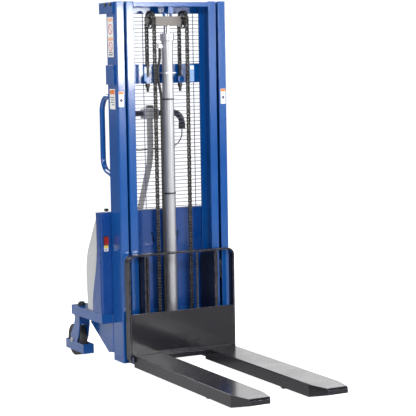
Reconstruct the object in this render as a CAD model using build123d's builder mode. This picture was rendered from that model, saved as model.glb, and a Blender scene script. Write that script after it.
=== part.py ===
from build123d import *
import math
import os

os.makedirs("parts", exist_ok=True)

# Walkie stacker, millimetres. +X to the right of the load, +Y to the operator, +Z up.
# The origin is on the floor, under the middle of the machine.

# Driving dimensions
fork_length = 1150.0
fork_width = 157.0
forks_overall = 560.0
fork_top = 88.0
fork_steel = 8.0
skirt_height = 59.0
mast_width = 612.0
mast_height = 1858.0
mast_foot = 39.0
mast_depth = 123.5
channel_steel = 10.0
outer_flange = 42.0
inner_flange = 42.0
channel_gap = 12.0
inner_inset = 2.0
plate_reach = 69.0
rear_reach = 628.0
body_half = 366.0
body_top = 797.0
sheet = 3.0
run_gap = 0.3
pin_gap = 0.05

# Places worked out from them
tip_reach = plate_reach + fork_length
mast_front = (tip_reach - rear_reach) / 2
mast_rear = mast_front + mast_depth
mast_middle = mast_front + mast_depth / 2
outer_half = mast_width / 2
outer_web = outer_half - channel_steel
outer_lip = outer_half - outer_flange
inner_half = outer_lip - channel_gap
inner_lip = inner_half - inner_flange
sides = ((-1, "left"), (1, "right"))

# Floor gear
gusset_steel = 8.0
leg_width = 80.0
leg_height = 40.0
leg_bottom = 24.0
leg_top = leg_bottom + leg_height
leg_wall = 8.0
leg_middle = forks_overall / 2 - fork_width / 2
base_steel = 15.0
base_top = leg_top + base_steel
roller_radius = 37.0
roller_width = 58.0
roller_axle = 10.0
roller_reach = 770.0
yoke_length = 95.0
leg_nose = 45.0


def save(piece, name):
    piece.part.label = name
    export_step(piece.part, f"parts/{name}.step")


def save_group(pieces, name):
    group = Compound(label=name, children=[piece.part for piece in pieces])
    export_step(group, f"parts/{name}.step")


def block(x0, x1, y0, y1, z0, z1, mode=Mode.ADD):
    with Locations(((x0 + x1) / 2, (y0 + y1) / 2, (z0 + z1) / 2)):
        Box(abs(x1 - x0), abs(y1 - y0), abs(z1 - z0), mode=mode)


def rod(radius, start, axis, length, mode=Mode.ADD):
    with Locations(Plane(origin=start, z_dir=axis)):
        Cylinder(radius, length, align=(Align.CENTER, Align.CENTER, Align.MIN), mode=mode)


# Mast: two outer channels and two inner ones nested between them
def channel(side, half, flange, front, rear, bottom, top):
    with BuildPart() as rail:
        with BuildSketch(Plane.XY.offset(bottom)):
            with BuildLine():
                Polyline(
                    (side * half, front),
                    (side * (half - flange), front),
                    (side * (half - flange), front + channel_steel),
                    (side * (half - channel_steel), front + channel_steel),
                    (side * (half - channel_steel), rear - channel_steel),
                    (side * (half - flange), rear - channel_steel),
                    (side * (half - flange), rear),
                    (side * half, rear),
                    close=True,
                )
            make_face()
        extrude(amount=top - bottom)
        upright = rail.edges().filter_by(Axis.Z)
        outside = upright.filter_by(lambda e: abs(abs(e.center().X) - half) < 0.01)
        fillet(outside, 5)
        lips = rail.edges().filter_by(Axis.Z)
        lips = lips.filter_by(lambda e: abs(abs(e.center().X) - half + flange) < 0.01)
        fillet(lips, 3)
    return rail


inner_front = mast_front + inner_inset
inner_rear = mast_rear - inner_inset
inner_foot = base_top + 7
inner_top = mast_height

for side, label in sides:
    outer_channel = channel(
        side, outer_half, outer_flange, mast_front, mast_rear, mast_foot, mast_height
    )
    save(outer_channel, f"outer_channel_{label}")
    inner_channel = channel(
        side, inner_half, inner_flange, inner_front, inner_rear, inner_foot, inner_top
    )
    save(inner_channel, f"inner_channel_{label}")

# Lift hose beside the cylinder
hose_radius = 7.0
hose_x = -38.0
hose_low = base_top + 18

# Straps that tie the outer channels together round their backs
strap_steel = 8.0
top_strap_bottom = 1799.0
top_strap_front = mast_front + 30
mid_strap_bottom = 1446.0
mid_strap_top = 1544.0
mid_strap_front = mast_front + 28
strap_back = mast_rear + strap_steel


def strap(bottom, top, front):
    with BuildPart() as tie:
        with BuildSketch(Plane.XY.offset(bottom)):
            with BuildLine():
                Polyline(
                    (-outer_half, front),
                    (-outer_half - strap_steel, front),
                    (-outer_half - strap_steel, strap_back),
                    (outer_half + strap_steel, strap_back),
                    (outer_half + strap_steel, front),
                    (outer_half, front),
                    (outer_half, mast_rear),
                    (-outer_half, mast_rear),
                    close=True,
                )
            make_face()
        extrude(amount=top - bottom)
        corners = tie.edges().filter_by(Axis.Z).group_by(Axis.Y)[-1]
        fillet(corners, strap_steel)
    return tie


# Chain line: sprockets ahead of and behind the cylinder axis
cylinder_y = mast_front + 60
sprocket_x = 92.0
sprocket_z = 1762.0
pitch_radius = 45.0
chain_width = 18.0
chain_depth = 15.0
front_chain_y = cylinder_y - pitch_radius
back_chain_y = cylinder_y + pitch_radius
stud_radius = 7.0
lug_bottom = 1446.0
lug_top = 1480.0
lug_half = 15.0
lug_reach = 15.0

top_strap = strap(top_strap_bottom, mast_height - 2, top_strap_front).part
mid_strap = strap(mid_strap_bottom, mid_strap_top, mid_strap_front).part

with BuildPart() as outer_top_beam:
    add(top_strap)
    # turned ends behind the side plates
    for side in (-1, 1):
        block(
            side * outer_half, side * (outer_half + strap_steel),
            strap_back - 1, strap_back + 62, top_strap_bottom, mast_height - 2,
        )
save(outer_top_beam, "outer_top_beam")

with BuildPart() as outer_mid_beam:
    add(mid_strap)
    for x in (-sprocket_x, sprocket_x):
        block(
            x - lug_half, x + lug_half,
            back_chain_y - lug_reach, mast_rear + 1, lug_bottom, lug_top,
        )
        rod(stud_radius + 0.5, (x, back_chain_y, lug_bottom - 1), (0, 0, 1), 40, Mode.SUBTRACT)
save(outer_mid_beam, "outer_mid_beam")

# Base plate on the legs, between the outer channel webs
with BuildPart() as base_frame:
    block(
        -outer_web, outer_web,
        mast_front + channel_steel + 2, mast_rear - channel_steel - 2, leg_top, base_top,
    )
    # sill that closes the mast foot at the back, with a way through for the hose
    block(
        -outer_half + gusset_steel, outer_half - gusset_steel,
        mast_rear, mast_rear + strap_steel, mast_foot, base_top + 40,
    )
    rod(hose_radius + 5, (hose_x, mast_rear - 1, hose_low), (0, 1, 0), strap_steel + 2, Mode.SUBTRACT)
save(base_frame, "base_frame")

# Support legs with a yoke for the load roller
leg_start = mast_front - roller_reach - leg_nose
leg_end = mast_rear
for side, label in sides:
    x = side * leg_middle
    roller_y = mast_front - roller_reach
    with BuildPart() as support_leg:
        with BuildSketch(Plane.YZ.offset(x - leg_width / 2)):
            with BuildLine():
                Polyline(
                    (leg_start + 18, leg_bottom),
                    (leg_end, leg_bottom),
                    (leg_end, leg_top),
                    (leg_start + 14, leg_top),
                    (leg_start, leg_top - 14),
                    (leg_start, leg_bottom + 12),
                    close=True,
                )
            make_face()
        extrude(amount=leg_width)
        # open yoke round the roller
        block(
            x - leg_width / 2 + leg_wall, x + leg_width / 2 - leg_wall,
            leg_start - 1, leg_start + yoke_length, leg_bottom - 1, leg_top + 1, Mode.SUBTRACT,
        )
        # hollow of the rectangular tube
        block(
            x - leg_width / 2 + leg_wall, x + leg_width / 2 - leg_wall,
            leg_start + yoke_length + leg_wall, leg_end + 1,
            leg_bottom + leg_wall, leg_top - leg_wall, Mode.SUBTRACT,
        )
        rod(
            roller_axle, (x - leg_width / 2 - 1, roller_y, roller_radius),
            (1, 0, 0), leg_width + 2, Mode.SUBTRACT,
        )
    save(support_leg, f"support_leg_{label}")

    with BuildPart() as load_roller:
        with BuildSketch(Plane.YZ.offset(x - roller_width / 2)):
            with Locations((roller_y, roller_radius)):
                Circle(roller_radius)
                Circle(roller_axle + pin_gap, mode=Mode.SUBTRACT)
        extrude(amount=roller_width)
        rims = load_roller.edges().filter_by(GeomType.CIRCLE)
        chamfer(rims.filter_by(lambda e: e.radius > roller_axle + 1), 2)
    save(load_roller, f"load_roller_{label}")

with BuildPart() as load_roller_axles:
    for side in (-1, 1):
        rod(
            roller_axle, (side * leg_middle - leg_width / 2, roller_y, roller_radius),
            (1, 0, 0), leg_width,
        )
save(load_roller_axles, "load_roller_axles")

# Lift cylinder
barrel_radius = 29.0
barrel_bore = 25.0
barrel_top = 1660.0
head_radius = 35.5
head_top = 1699.0
rod_radius = 16.0
crosshead_bottom = 1736.0
crosshead_top = 1784.0
crosshead_half = 71.0
crosshead_depth = 42.0
piston_bottom = base_top + 30

with BuildPart() as cylinder_barrel:
    rod(barrel_radius, (0, cylinder_y, base_top), (0, 0, 1), barrel_top - base_top)
    rod(
        barrel_bore, (0, cylinder_y, base_top + 20), (0, 0, 1),
        barrel_top - base_top, Mode.SUBTRACT,
    )
save(cylinder_barrel, "cylinder_barrel")

with BuildPart() as cylinder_head:
    rod(head_radius, (0, cylinder_y, barrel_top), (0, 0, 1), head_top - barrel_top)
    rod(
        rod_radius + pin_gap, (0, cylinder_y, barrel_top - 1), (0, 0, 1),
        head_top - barrel_top + 2, Mode.SUBTRACT,
    )
    rims = cylinder_head.edges().filter_by(GeomType.CIRCLE)
    chamfer(rims.filter_by(lambda e: e.radius > head_radius - 1), 2.5)
save(cylinder_head, "cylinder_head")

with BuildPart() as piston_rod:
    rod(rod_radius, (0, cylinder_y, piston_bottom), (0, 0, 1), crosshead_bottom - piston_bottom)
    rod(barrel_bore - pin_gap, (0, cylinder_y, piston_bottom), (0, 0, 1), 40)
save(piston_rod, "piston_rod")

# Steady ring that holds the barrel to the middle strap
ring_z = 1496.0
ring_steel = 5.0
ring_radius = 45.0
with BuildPart() as cylinder_ring:
    rod(ring_radius, (0, cylinder_y, ring_z), (0, 0, 1), ring_steel)
    block(-22, 22, cylinder_y, mast_rear, ring_z, ring_z + ring_steel)
    rod(barrel_radius, (0, cylinder_y, ring_z - 1), (0, 0, 1), ring_steel + 2, Mode.SUBTRACT)
    block(
        -ring_radius, ring_radius, mast_front, mast_front + 25,
        ring_z - 1, ring_z + ring_steel + 1, Mode.SUBTRACT,
    )
save(cylinder_ring, "cylinder_ring")

# Crosshead on the rod, with the sprocket shaft through it
shaft_radius = 12.0
shaft_half = 112.0
with BuildPart() as crosshead:
    block(
        -crosshead_half, crosshead_half,
        cylinder_y - crosshead_depth / 2, cylinder_y + crosshead_depth / 2,
        crosshead_bottom, crosshead_top,
    )
    fillet(crosshead.edges().filter_by(Axis.Z), 3)
    rod(shaft_radius, (-crosshead_half - 1, cylinder_y, sprocket_z), (1, 0, 0), 144, Mode.SUBTRACT)
with BuildPart() as sprocket_shaft:
    rod(shaft_radius, (-shaft_half, cylinder_y, sprocket_z), (1, 0, 0), 2 * shaft_half)
    for x in (-shaft_half, shaft_half - 5):
        rod(shaft_radius + 5, (x, cylinder_y, sprocket_z), (1, 0, 0), 5)
save_group([crosshead, sprocket_shaft], "crosshead")

sprocket_hub = 20.0
sprocket_rim = pitch_radius - chain_depth / 2 - run_gap
sprocket_web = 9.0
for side, label in sides:
    x = side * sprocket_x
    with BuildPart() as sprocket:
        rod(sprocket_rim, (x - sprocket_web / 2, cylinder_y, sprocket_z), (1, 0, 0), sprocket_web)
        rod(sprocket_hub, (x - 14, cylinder_y, sprocket_z), (1, 0, 0), 28)
        rod(
            shaft_radius + pin_gap, (x - 15, cylinder_y, sprocket_z),
            (1, 0, 0), 30, Mode.SUBTRACT,
        )
        with Locations(Plane(origin=(x, cylinder_y, sprocket_z), z_dir=(1, 0, 0))):
            with PolarLocations(28.5, 5):
                Cylinder(5.5, 12, mode=Mode.SUBTRACT)
    save(sprocket, f"sprocket_{label}")

# Chains: the wrap over each sprocket, and the two straight strands
with BuildPart() as chain_wraps:
    for x in (-sprocket_x, sprocket_x):
        start = (x - chain_width / 2, cylinder_y, sprocket_z)
        rod(pitch_radius + chain_depth / 2, start, (1, 0, 0), chain_width)
        rod(pitch_radius - chain_depth / 2, start, (1, 0, 0), chain_width, Mode.SUBTRACT)
    block(-200, 200, cylinder_y - 60, cylinder_y + 60, sprocket_z - 60, sprocket_z, Mode.SUBTRACT)
save(chain_wraps, "chain_wraps")

# Carriage bars come first, because the front strands hang from the lower one
carriage_bottom = base_top + 8
carriage_top = 582.0
side_outer = inner_lip - 3
side_inner = side_outer - 20
plate_steel = 8.0
plate_front = mast_front - plate_reach
plate_back = plate_front + plate_steel
side_back = mast_front + 94
anchor_bar_bottom = 150.0
anchor_bar_top = 190.0
front_anchor_z = anchor_bar_top + 42
back_anchor_z = 1546.0

with BuildPart() as front_chains:
    for x in (-sprocket_x, sprocket_x):
        block(
            x - chain_width / 2, x + chain_width / 2,
            front_chain_y - chain_depth / 2, front_chain_y + chain_depth / 2,
            front_anchor_z, sprocket_z,
        )
save(front_chains, "front_chains")

with BuildPart() as back_chains:
    for x in (-sprocket_x, sprocket_x):
        block(
            x - chain_width / 2, x + chain_width / 2,
            back_chain_y - chain_depth / 2, back_chain_y + chain_depth / 2,
            back_anchor_z, sprocket_z,
        )
save(back_chains, "back_chains")


def anchor(x, y, z_top, lug_low, lug_high, tail):
    # stud through the lug, nuts on both sides, and a block that takes the chain's last pin
    on_end = (Align.CENTER, Align.CENTER, Align.MIN)
    solid = Pos(x, y, lug_low - tail) * Cylinder(stud_radius, z_top - 25 - lug_low + tail, align=on_end)
    for z in (lug_low - 20, lug_low - 10, lug_high):
        solid += extrude(Pos(x, y, z) * RegularPolygon(13, 6), 10)
    solid += Pos(x, y, z_top - 15) * Box(13, chain_depth, 30)
    return solid


chain_places = (-sprocket_x, sprocket_x)
back_studs = [
    anchor(x, back_chain_y, back_anchor_z, lug_bottom, lug_top, 42) for x in chain_places
]
front_studs = [
    anchor(x, front_chain_y, front_anchor_z, anchor_bar_bottom, anchor_bar_top, 30)
    for x in chain_places
]

with BuildPart() as back_anchors:
    add(back_studs)
save(back_anchors, "back_anchors")

with BuildPart() as front_anchors:
    add(front_studs)
save(front_anchors, "front_anchors")

# Inner mast ties
tie_front = inner_front
lip_height = 22.0
bottom_tie_foot = inner_foot + 30
bottom_tie_height = 60.0
with BuildPart() as inner_ties:
    block(-inner_lip, inner_lip, tie_front, tie_front + 98, mast_height - 12, mast_height - 4)
    block(-inner_lip, inner_lip, tie_front, tie_front + 8, mast_height - 4 - lip_height, mast_height - 4)
    # hanger down to the crosshead
    block(-13.5, 13.5, tie_front + 6, tie_front + 58, crosshead_top + 14, mast_height - 11)
    block(-26, 26, tie_front + 36, tie_front + 58, crosshead_top + 14, crosshead_top + 22)
    for x in (-19, 19):
        rod(7, (x, tie_front + 48, crosshead_top), (0, 0, 1), 15)
    # lower tie, behind the cylinder
    block(
        -inner_lip, inner_lip,
        inner_rear - channel_steel, inner_rear, bottom_tie_foot, bottom_tie_foot + bottom_tie_height,
    )
save(inner_ties, "inner_ties")

# Mast and carriage rollers, each a disc on a stub
outer_bore = mast_depth / 2 - channel_steel
inner_bore = outer_bore - inner_inset
with BuildPart() as mast_rollers:
    for side in (-1, 1):
        for z in (150, 470):
            rod(outer_bore - run_gap, (side * (inner_half + 14), mast_middle, z), (side, 0, 0), 26)
            rod(18, (side * inner_half, mast_middle, z), (side, 0, 0), 15)
save(mast_rollers, "mast_rollers")

with BuildPart() as carriage_rollers:
    for side in (-1, 1):
        for z in (152, 500):
            rod(inner_bore - run_gap, (side * (side_outer + 6), mast_middle, z), (side, 0, 0), 24)
            rod(18, (side * side_outer, mast_middle, z), (side, 0, 0), 7)
save(carriage_rollers, "carriage_rollers")

# Carriage: side plates with a front flange, cross bars, guard frame, plate and forks
for side, label in sides:
    with BuildPart() as carriage_side:
        block(
            side * side_inner, side * side_outer, plate_back, side_back,
            carriage_bottom, carriage_top,
        )
        rear = carriage_side.edges().filter_by(Axis.X).group_by(Axis.Y)[-1]
        chamfer(rear, 30)
    save(carriage_side, f"carriage_side_{label}")

with BuildPart() as carriage_bars:
    block(
        -side_inner, side_inner, front_chain_y - 13, front_chain_y + 13,
        anchor_bar_bottom, anchor_bar_top,
    )
    for x in (-sprocket_x, sprocket_x):
        rod(stud_radius, (x, front_chain_y, anchor_bar_bottom - 1), (0, 0, 1), 50, Mode.SUBTRACT)
    # The bar is relieved in the middle so that it passes the cylinder's head and ring
    block(
        -48, 48, front_chain_y + 8, front_chain_y + 14,
        anchor_bar_bottom - 1, anchor_bar_top + 1, Mode.SUBTRACT,
    )
    block(-side_inner, side_inner, plate_back, plate_back + 12, 225, 290)
save(carriage_bars, "carriage_bars")

frame_width = 600.0
frame_depth = 46.0
frame_steel = 9.0
frame_top = 596.0
frame_bottom = 38.0
frame_corner = 38.0
plate_top = 297.0
bar_steel = 9.0
bar_places = (-190.0, -85.0, 85.0, 190.0)

with BuildPart() as backrest_frame:
    with BuildSketch(Plane.XZ.offset(-plate_front)) as outline:
        with Locations((0, (frame_top + frame_bottom) / 2)):
            frame_face = Rectangle(frame_width, frame_top - frame_bottom)
        corners = outline.vertices().group_by(Axis.Z)[-1]
        fillet(corners, frame_corner)
    extrude(amount=-frame_depth)
    with BuildSketch(Plane.XZ.offset(-plate_front)) as hollow:
        with Locations((0, (frame_top + frame_bottom) / 2 - frame_steel)):
            Rectangle(frame_width - 2 * frame_steel, frame_top - frame_bottom)
        corners = hollow.vertices().group_by(Axis.Z)[-1]
        fillet(corners, frame_corner - frame_steel)
    extrude(amount=-frame_depth, mode=Mode.SUBTRACT)
    for x in bar_places:
        block(
            x - bar_steel / 2, x + bar_steel / 2, plate_front, plate_back,
            plate_top, frame_top - frame_steel + 1,
        )
save(backrest_frame, "backrest_frame")

with BuildPart() as load_plate:
    block(
        -frame_width / 2 + frame_steel, frame_width / 2 - frame_steel,
        plate_front, plate_back, fork_top, plate_top,
    )
save(load_plate, "load_plate")

# Forks: channels open below, so that they come down over the legs
nose_height = 30.0
nose_width = 103.0
nose_length = 127.0
fork_rear = plate_front
fork_tip = plate_front - fork_length
skirt_bottom = fork_top - skirt_height


def fork_outline(x, width, nose, tip, taper):
    return [
        (x - width / 2, fork_rear),
        (x - width / 2, taper),
        (x - nose / 2, tip),
        (x + nose / 2, tip),
        (x + width / 2, taper),
        (x + width / 2, fork_rear),
    ]


for side, label in sides:
    x = side * leg_middle
    with BuildPart() as fork:
        with BuildSketch(Plane.XY.offset(skirt_bottom)):
            with BuildLine():
                Polyline(
                    *fork_outline(x, fork_width, nose_width, fork_tip, fork_tip + nose_length),
                    close=True,
                )
            make_face()
        extrude(amount=skirt_height)
        top_edges = fork.edges().group_by(Axis.Z)[-1]
        chamfer(top_edges.sort_by(Axis.Y)[0], 9)
        top_edges = fork.edges().group_by(Axis.Z)[-1]
        fillet(top_edges.filter_by(Axis.Y), 4)
        with BuildSketch(Plane.XY.offset(skirt_bottom)):
            with BuildLine():
                Polyline(
                    *fork_outline(
                        x, fork_width - 2 * fork_steel, nose_width - 2 * fork_steel,
                        fork_tip + fork_steel + 6, fork_tip + nose_length,
                    ),
                    close=True,
                )
            make_face()
        extrude(amount=skirt_height - fork_steel, mode=Mode.SUBTRACT)
        # the skirt rises towards the nose
        with BuildSketch(Plane.YZ.offset(x - fork_width)):
            with BuildLine():
                Polyline(
                    (fork_tip - 1, skirt_bottom - 1),
                    (fork_tip - 1, fork_top - nose_height),
                    (fork_tip + nose_length, skirt_bottom),
                    (fork_tip + nose_length, skirt_bottom - 1),
                    close=True,
                )
            make_face()
        extrude(amount=2 * fork_width, mode=Mode.SUBTRACT)
    save(fork, f"fork_{label}")

heel_reach = 52.0
heel_height = 24.0
heel_half = forks_overall / 2 - fork_width
with BuildPart() as heel_beam:
    block(
        -heel_half, heel_half, plate_front - heel_reach, plate_front,
        fork_top - heel_height, fork_top,
    )
    block(
        -heel_half - 1, heel_half + 1, plate_front - heel_reach + fork_steel, plate_front + 1,
        fork_top - heel_height - 1, fork_top - fork_steel, Mode.SUBTRACT,
    )
save(heel_beam, "heel_beam")

# Rear frame: splayed arms and a cross beam that carry the casters
arm_top = 276.0
arm_height = 48.0
arm_bottom = arm_top - arm_height
arm_end = mast_front + 518
arm_splay = 12.0
arm_width = 62.0
caster_x = 336.0
caster_y = mast_front + 466
kingpin = 12.0
with BuildPart() as caster_frame:
    for side in (-1, 1):
        with BuildSketch(Plane.XY.offset(arm_bottom)):
            with BuildLine():
                Polyline(
                    (side * body_half, mast_rear + 4),
                    (side * (body_half + arm_splay), arm_end),
                    (side * (body_half + arm_splay - arm_width - 18), arm_end),
                    (side * (body_half - arm_width), mast_rear + 4),
                    close=True,
                )
            make_face()
        extrude(amount=arm_height)
    block(-300, 300, arm_end - 60, arm_end, arm_bottom, arm_top)
    block(-306, 306, mast_rear, mast_rear + 30, arm_bottom, arm_top)
    ends = caster_frame.edges().filter_by(Axis.Z).group_by(Axis.Y)[-1]
    fillet(ends, 12)
    for x in (-caster_x, caster_x):
        rod(kingpin + pin_gap, (x, caster_y, arm_bottom - 1), (0, 0, 1), arm_height + 2, Mode.SUBTRACT)
save(caster_frame, "caster_frame")

with BuildPart() as side_gussets:
    for side in (-1, 1):
        with BuildSketch(Plane.YZ.offset(side * outer_half - gusset_steel * (side + 1) / 2)):
            with BuildLine():
                Polyline(
                    (mast_rear, arm_bottom),
                    (mast_rear, 76),
                    (mast_front + 187, 67),
                    (mast_front + 416, 189),
                    (mast_front + 416, arm_bottom),
                    close=True,
                )
            make_face()
        extrude(amount=gusset_steel)
save(side_gussets, "side_gussets")

# Swivel casters
caster_trail = 66.0
caster_radius = 84.0
caster_tread = 42.0
cheek_steel = 6.0
cheek_half = 30.0
crown_top = 224.0
crown_web = 45.0
guard_top = 78.0
guard_bottom = 28.0
guard_front = 80.0
guard_back = rear_reach - 466.0
axle_radius = 9.0
for side, label in sides:
    x = side * caster_x
    wheel_y = caster_y + caster_trail
    with BuildPart() as caster_fork:
        for cheek in (-cheek_half, cheek_half - cheek_steel):
            with BuildSketch(Plane.YZ.offset(x + cheek)):
                with BuildLine():
                    Polyline(
                        (caster_y - 34, crown_top),
                        (caster_y + 24, crown_top),
                        (caster_y + 42, crown_top - 56),
                        (wheel_y + 28, caster_radius + 24),
                        (wheel_y + 24, guard_bottom + 6),
                        (wheel_y - 26, guard_bottom + 6),
                        (caster_y - 12, guard_top + 30),
                        (caster_y - 34, crown_top - crown_web),
                        close=True,
                    )
                make_face()
            extrude(amount=cheek_steel)
        block(
            x - cheek_half, x + cheek_half, caster_y - 34, caster_y + 34,
            crown_top - 8, crown_top,
        )
        block(
            x - cheek_half, x + cheek_half, caster_y - 34, caster_y - 34 + cheek_steel,
            crown_top - crown_web, crown_top,
        )
        # foot guard: a flat ring round the wheel
        block(
            x - cheek_half, x + cheek_half, caster_y - guard_front, caster_y + guard_back,
            guard_bottom, guard_top,
        )
        block(
            x - cheek_half + cheek_steel, x + cheek_half - cheek_steel,
            caster_y - guard_front + 6, caster_y + guard_back - 6,
            guard_bottom - 1, guard_top + 1, Mode.SUBTRACT,
        )
        rod(30, (x, caster_y, crown_top - 1), (0, 0, 1), arm_bottom - run_gap - crown_top + 1)
        rod(kingpin, (x, caster_y, crown_top), (0, 0, 1), arm_top + 20 - crown_top)
        with BuildSketch(Plane.XY.offset(arm_top + run_gap)):
            with Locations((x, caster_y)):
                RegularPolygon(17, 6)
        extrude(amount=13)
        rod(axle_radius, (x - 60, wheel_y, caster_radius), (1, 0, 0), 120, Mode.SUBTRACT)
    save(caster_fork, f"caster_fork_{label}")

    with BuildPart() as caster_axle:
        rod(axle_radius, (x - cheek_half, wheel_y, caster_radius), (1, 0, 0), 2 * cheek_half)
        for start, out in ((x - cheek_half - 7, 1), (x + cheek_half, 1)):
            rod(13, (start, wheel_y, caster_radius), (1, 0, 0), 7)
    save(caster_axle, f"caster_axle_{label}")

    with BuildPart() as caster_wheel:
        with BuildSketch(Plane.YZ.offset(x - caster_tread / 2)):
            with Locations((wheel_y, caster_radius)):
                Circle(caster_radius)
                Circle(axle_radius + pin_gap, mode=Mode.SUBTRACT)
        extrude(amount=caster_tread)
        rims = caster_wheel.edges().filter_by(GeomType.CIRCLE)
        fillet(rims.filter_by(lambda e: e.radius > 40), 6)
    save(caster_wheel, f"caster_wheel_{label}")

# Body: a folded shell behind the mast, closed at the back by a moulded cover
body_front = mast_rear + 4
body_bottom = arm_top + 1
cover_half = body_half - 4


def seam_points():
    # rear edge of the shell's sides, from the top down
    return [
        (mast_front + 178, body_top),
        (mast_front + 173, body_bottom + 388),
        (mast_front + 186, body_bottom + 254),
        (mast_front + 217, body_bottom + 151),
        (mast_front + 240, body_bottom + 62),
        (mast_front + 238, body_bottom),
    ]


def back_points():
    # back of the cover, from the top down
    return [
        (mast_front + 178, body_top),
        (mast_front + 218, body_bottom + 478),
        (mast_front + 277, body_bottom + 390),
        (mast_front + 328, body_bottom + 311),
        (mast_front + 353, body_bottom + 201),
        (mast_front + 350, body_bottom + 100),
        (mast_front + 343, body_bottom),
    ]


button_x = -318.0
button_y = body_front + 22
button_stem = 5.0
with BuildPart() as body_shell:
    block(-body_half, body_half, body_front, body_front + sheet, body_bottom, body_top)
    block(-body_half, body_half, body_front, mast_front + 176, body_top - sheet, body_top)
    block(-body_half, body_half, body_front, mast_front + 236, body_bottom, body_bottom + sheet)
    for start in (-body_half, body_half - sheet):
        with BuildSketch(Plane.YZ.offset(start)):
            with BuildLine():
                seam = Spline(*seam_points())
                Polyline(
                    seam @ 1, (body_front, body_bottom), (body_front, body_top), seam @ 0
                )
            make_face()
        extrude(amount=sheet)
    corners = body_shell.edges().filter_by(Axis.Z).group_by(Axis.Y)[0]
    fillet(corners.filter_by(lambda e: abs(abs(e.center().X) - body_half) < 0.01), 12)
    # slanted slots behind the mast
    for side in (-1, 1):
        with Locations(Location((side * 69, body_front, body_top - 144), (0, side * 16, 0))):
            Box(7, 20, 56, mode=Mode.SUBTRACT)
    rod(
        button_stem + pin_gap, (button_x, button_y, body_top - 10), (0, 0, 1), 20, Mode.SUBTRACT
    )
save(body_shell, "body_shell")

cover_round = 22.0
with BuildPart() as cover_hollow:
    with BuildSketch(Plane.YZ.offset(-cover_half + 2 * sheet)):
        with BuildLine():
            inner = Spline(*[(y - sheet, z - sheet) for y, z in back_points()[:-1]])
            Polyline(
                inner @ 1, (back_points()[-1][0] - sheet, body_bottom + sheet),
                (body_front, body_bottom + sheet), (body_front, body_top - sheet), inner @ 0,
            )
        make_face()
    extrude(amount=2 * cover_half - 4 * sheet)
    back_edges = cover_hollow.edges().filter_by(
        lambda e: e.length > 400 and e.center().Y > mast_front + 250
    )
    fillet(back_edges, cover_round - sheet)

with BuildPart() as rear_cover:
    with BuildSketch(Plane.YZ.offset(-cover_half + sheet)):
        with BuildLine():
            seam = Spline(*seam_points())
            back = Spline(*back_points())
            Line(seam @ 1, back @ 1)
        make_face()
    extrude(amount=2 * cover_half - 2 * sheet)
    back_edges = rear_cover.edges().filter_by(
        lambda e: e.length > 400 and e.center().Y > mast_front + 250
    )
    fillet(back_edges, cover_round)
    add(cover_hollow.part, mode=Mode.SUBTRACT)
save(rear_cover, "rear_cover")

# Inside the body
floor_z = body_bottom + sheet
with BuildPart() as battery:
    block(-340, -40, mast_front + 145, mast_front + 315, floor_z, floor_z + 208)
    fillet(battery.edges().filter_by(Axis.Z), 6)
    for x in (-300, -80):
        rod(9, (x, mast_front + 290, floor_z + 208), (0, 0, 1), 18)
save(battery, "battery")

tank_height = 100.0
valve_height = 42.0
motor_radius = 55.0
with BuildPart() as oil_tank:
    block(60, 330, mast_front + 150, mast_front + 305, floor_z, floor_z + tank_height)
    fillet(oil_tank.edges().filter_by(Axis.Z), 10)
with BuildPart() as valve_block:
    block(
        150, 250, mast_front + 180, mast_front + 280,
        floor_z + tank_height, floor_z + tank_height + valve_height,
    )
with BuildPart() as pump_motor:
    rod(
        motor_radius, (200, mast_front + 228, floor_z + tank_height + valve_height),
        (0, 0, 1), 160,
    )
    ends = pump_motor.edges().filter_by(GeomType.CIRCLE)
    chamfer(ends, 4)
save_group([oil_tank, valve_block, pump_motor], "power_unit")

# Hose: fitting at the cylinder's top, down its left side, under the lower tie, up to the floor
hose_top = 1624.0
hose_rear = mast_rear + 62
hose_end = arm_bottom + 20
hose_route = [
    (-42, cylinder_y, hose_top),
    (-42, cylinder_y, 1578),
    (-55, cylinder_y, 1512),
    (-54, cylinder_y, 1470),
    (hose_x, cylinder_y, 1385),
    (hose_x, cylinder_y, hose_low),
    (hose_x, hose_rear, hose_low),
    (hose_x, hose_rear, hose_end),
]
hose_bends = [120, 120, 120, 160, 55, 55]
with BuildPart() as lift_hose:
    with BuildLine() as hose_line:
        FilletPolyline(*hose_route, radius=hose_bends)
    with BuildSketch(Plane(origin=hose_line.line @ 0, z_dir=hose_line.line % 0)):
        Circle(hose_radius)
    sweep()
save(lift_hose, "lift_hose")
print("hose length", hose_line.wire().length)

with BuildPart() as hose_fittings:
    block(-51, -31, cylinder_y - 9, cylinder_y + 9, hose_top, hose_top + 20)
    rod(8, (-31, cylinder_y, hose_top + 11), (1, 0, 0), 12)
    rod(barrel_radius, (0, cylinder_y, hose_top - 5), (0, 0, 1), 40, Mode.SUBTRACT)
    rod(12, (hose_x, hose_rear, hose_end), (0, 0, 1), body_bottom - hose_end)
save(hose_fittings, "hose_fittings")

# Mesh guard: horizontal wires on a few upright ones
wire = 3.0
wire_pitch = 19.0
upright_pitch = 143.0
mesh_half = 272.0
guard_panels = ((body_top + 3, mid_strap_bottom), (mid_strap_top, top_strap_bottom))
with BuildPart() as mesh_guard:
    for low, high in guard_panels:
        wires = int((high - low) // wire_pitch)
        for k in range(wires):
            z = low + 8 + k * wire_pitch
            block(-mesh_half, mesh_half, mast_rear, mast_rear + wire, z, z + wire)
        for k in range(4):
            x = -247 + k * upright_pitch
            block(x - 1.5, x + 1.5, mast_rear + wire - 0.5, mast_rear + 2 * wire - 0.5, low, high)
save(mesh_guard, "mesh_guard")

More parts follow.
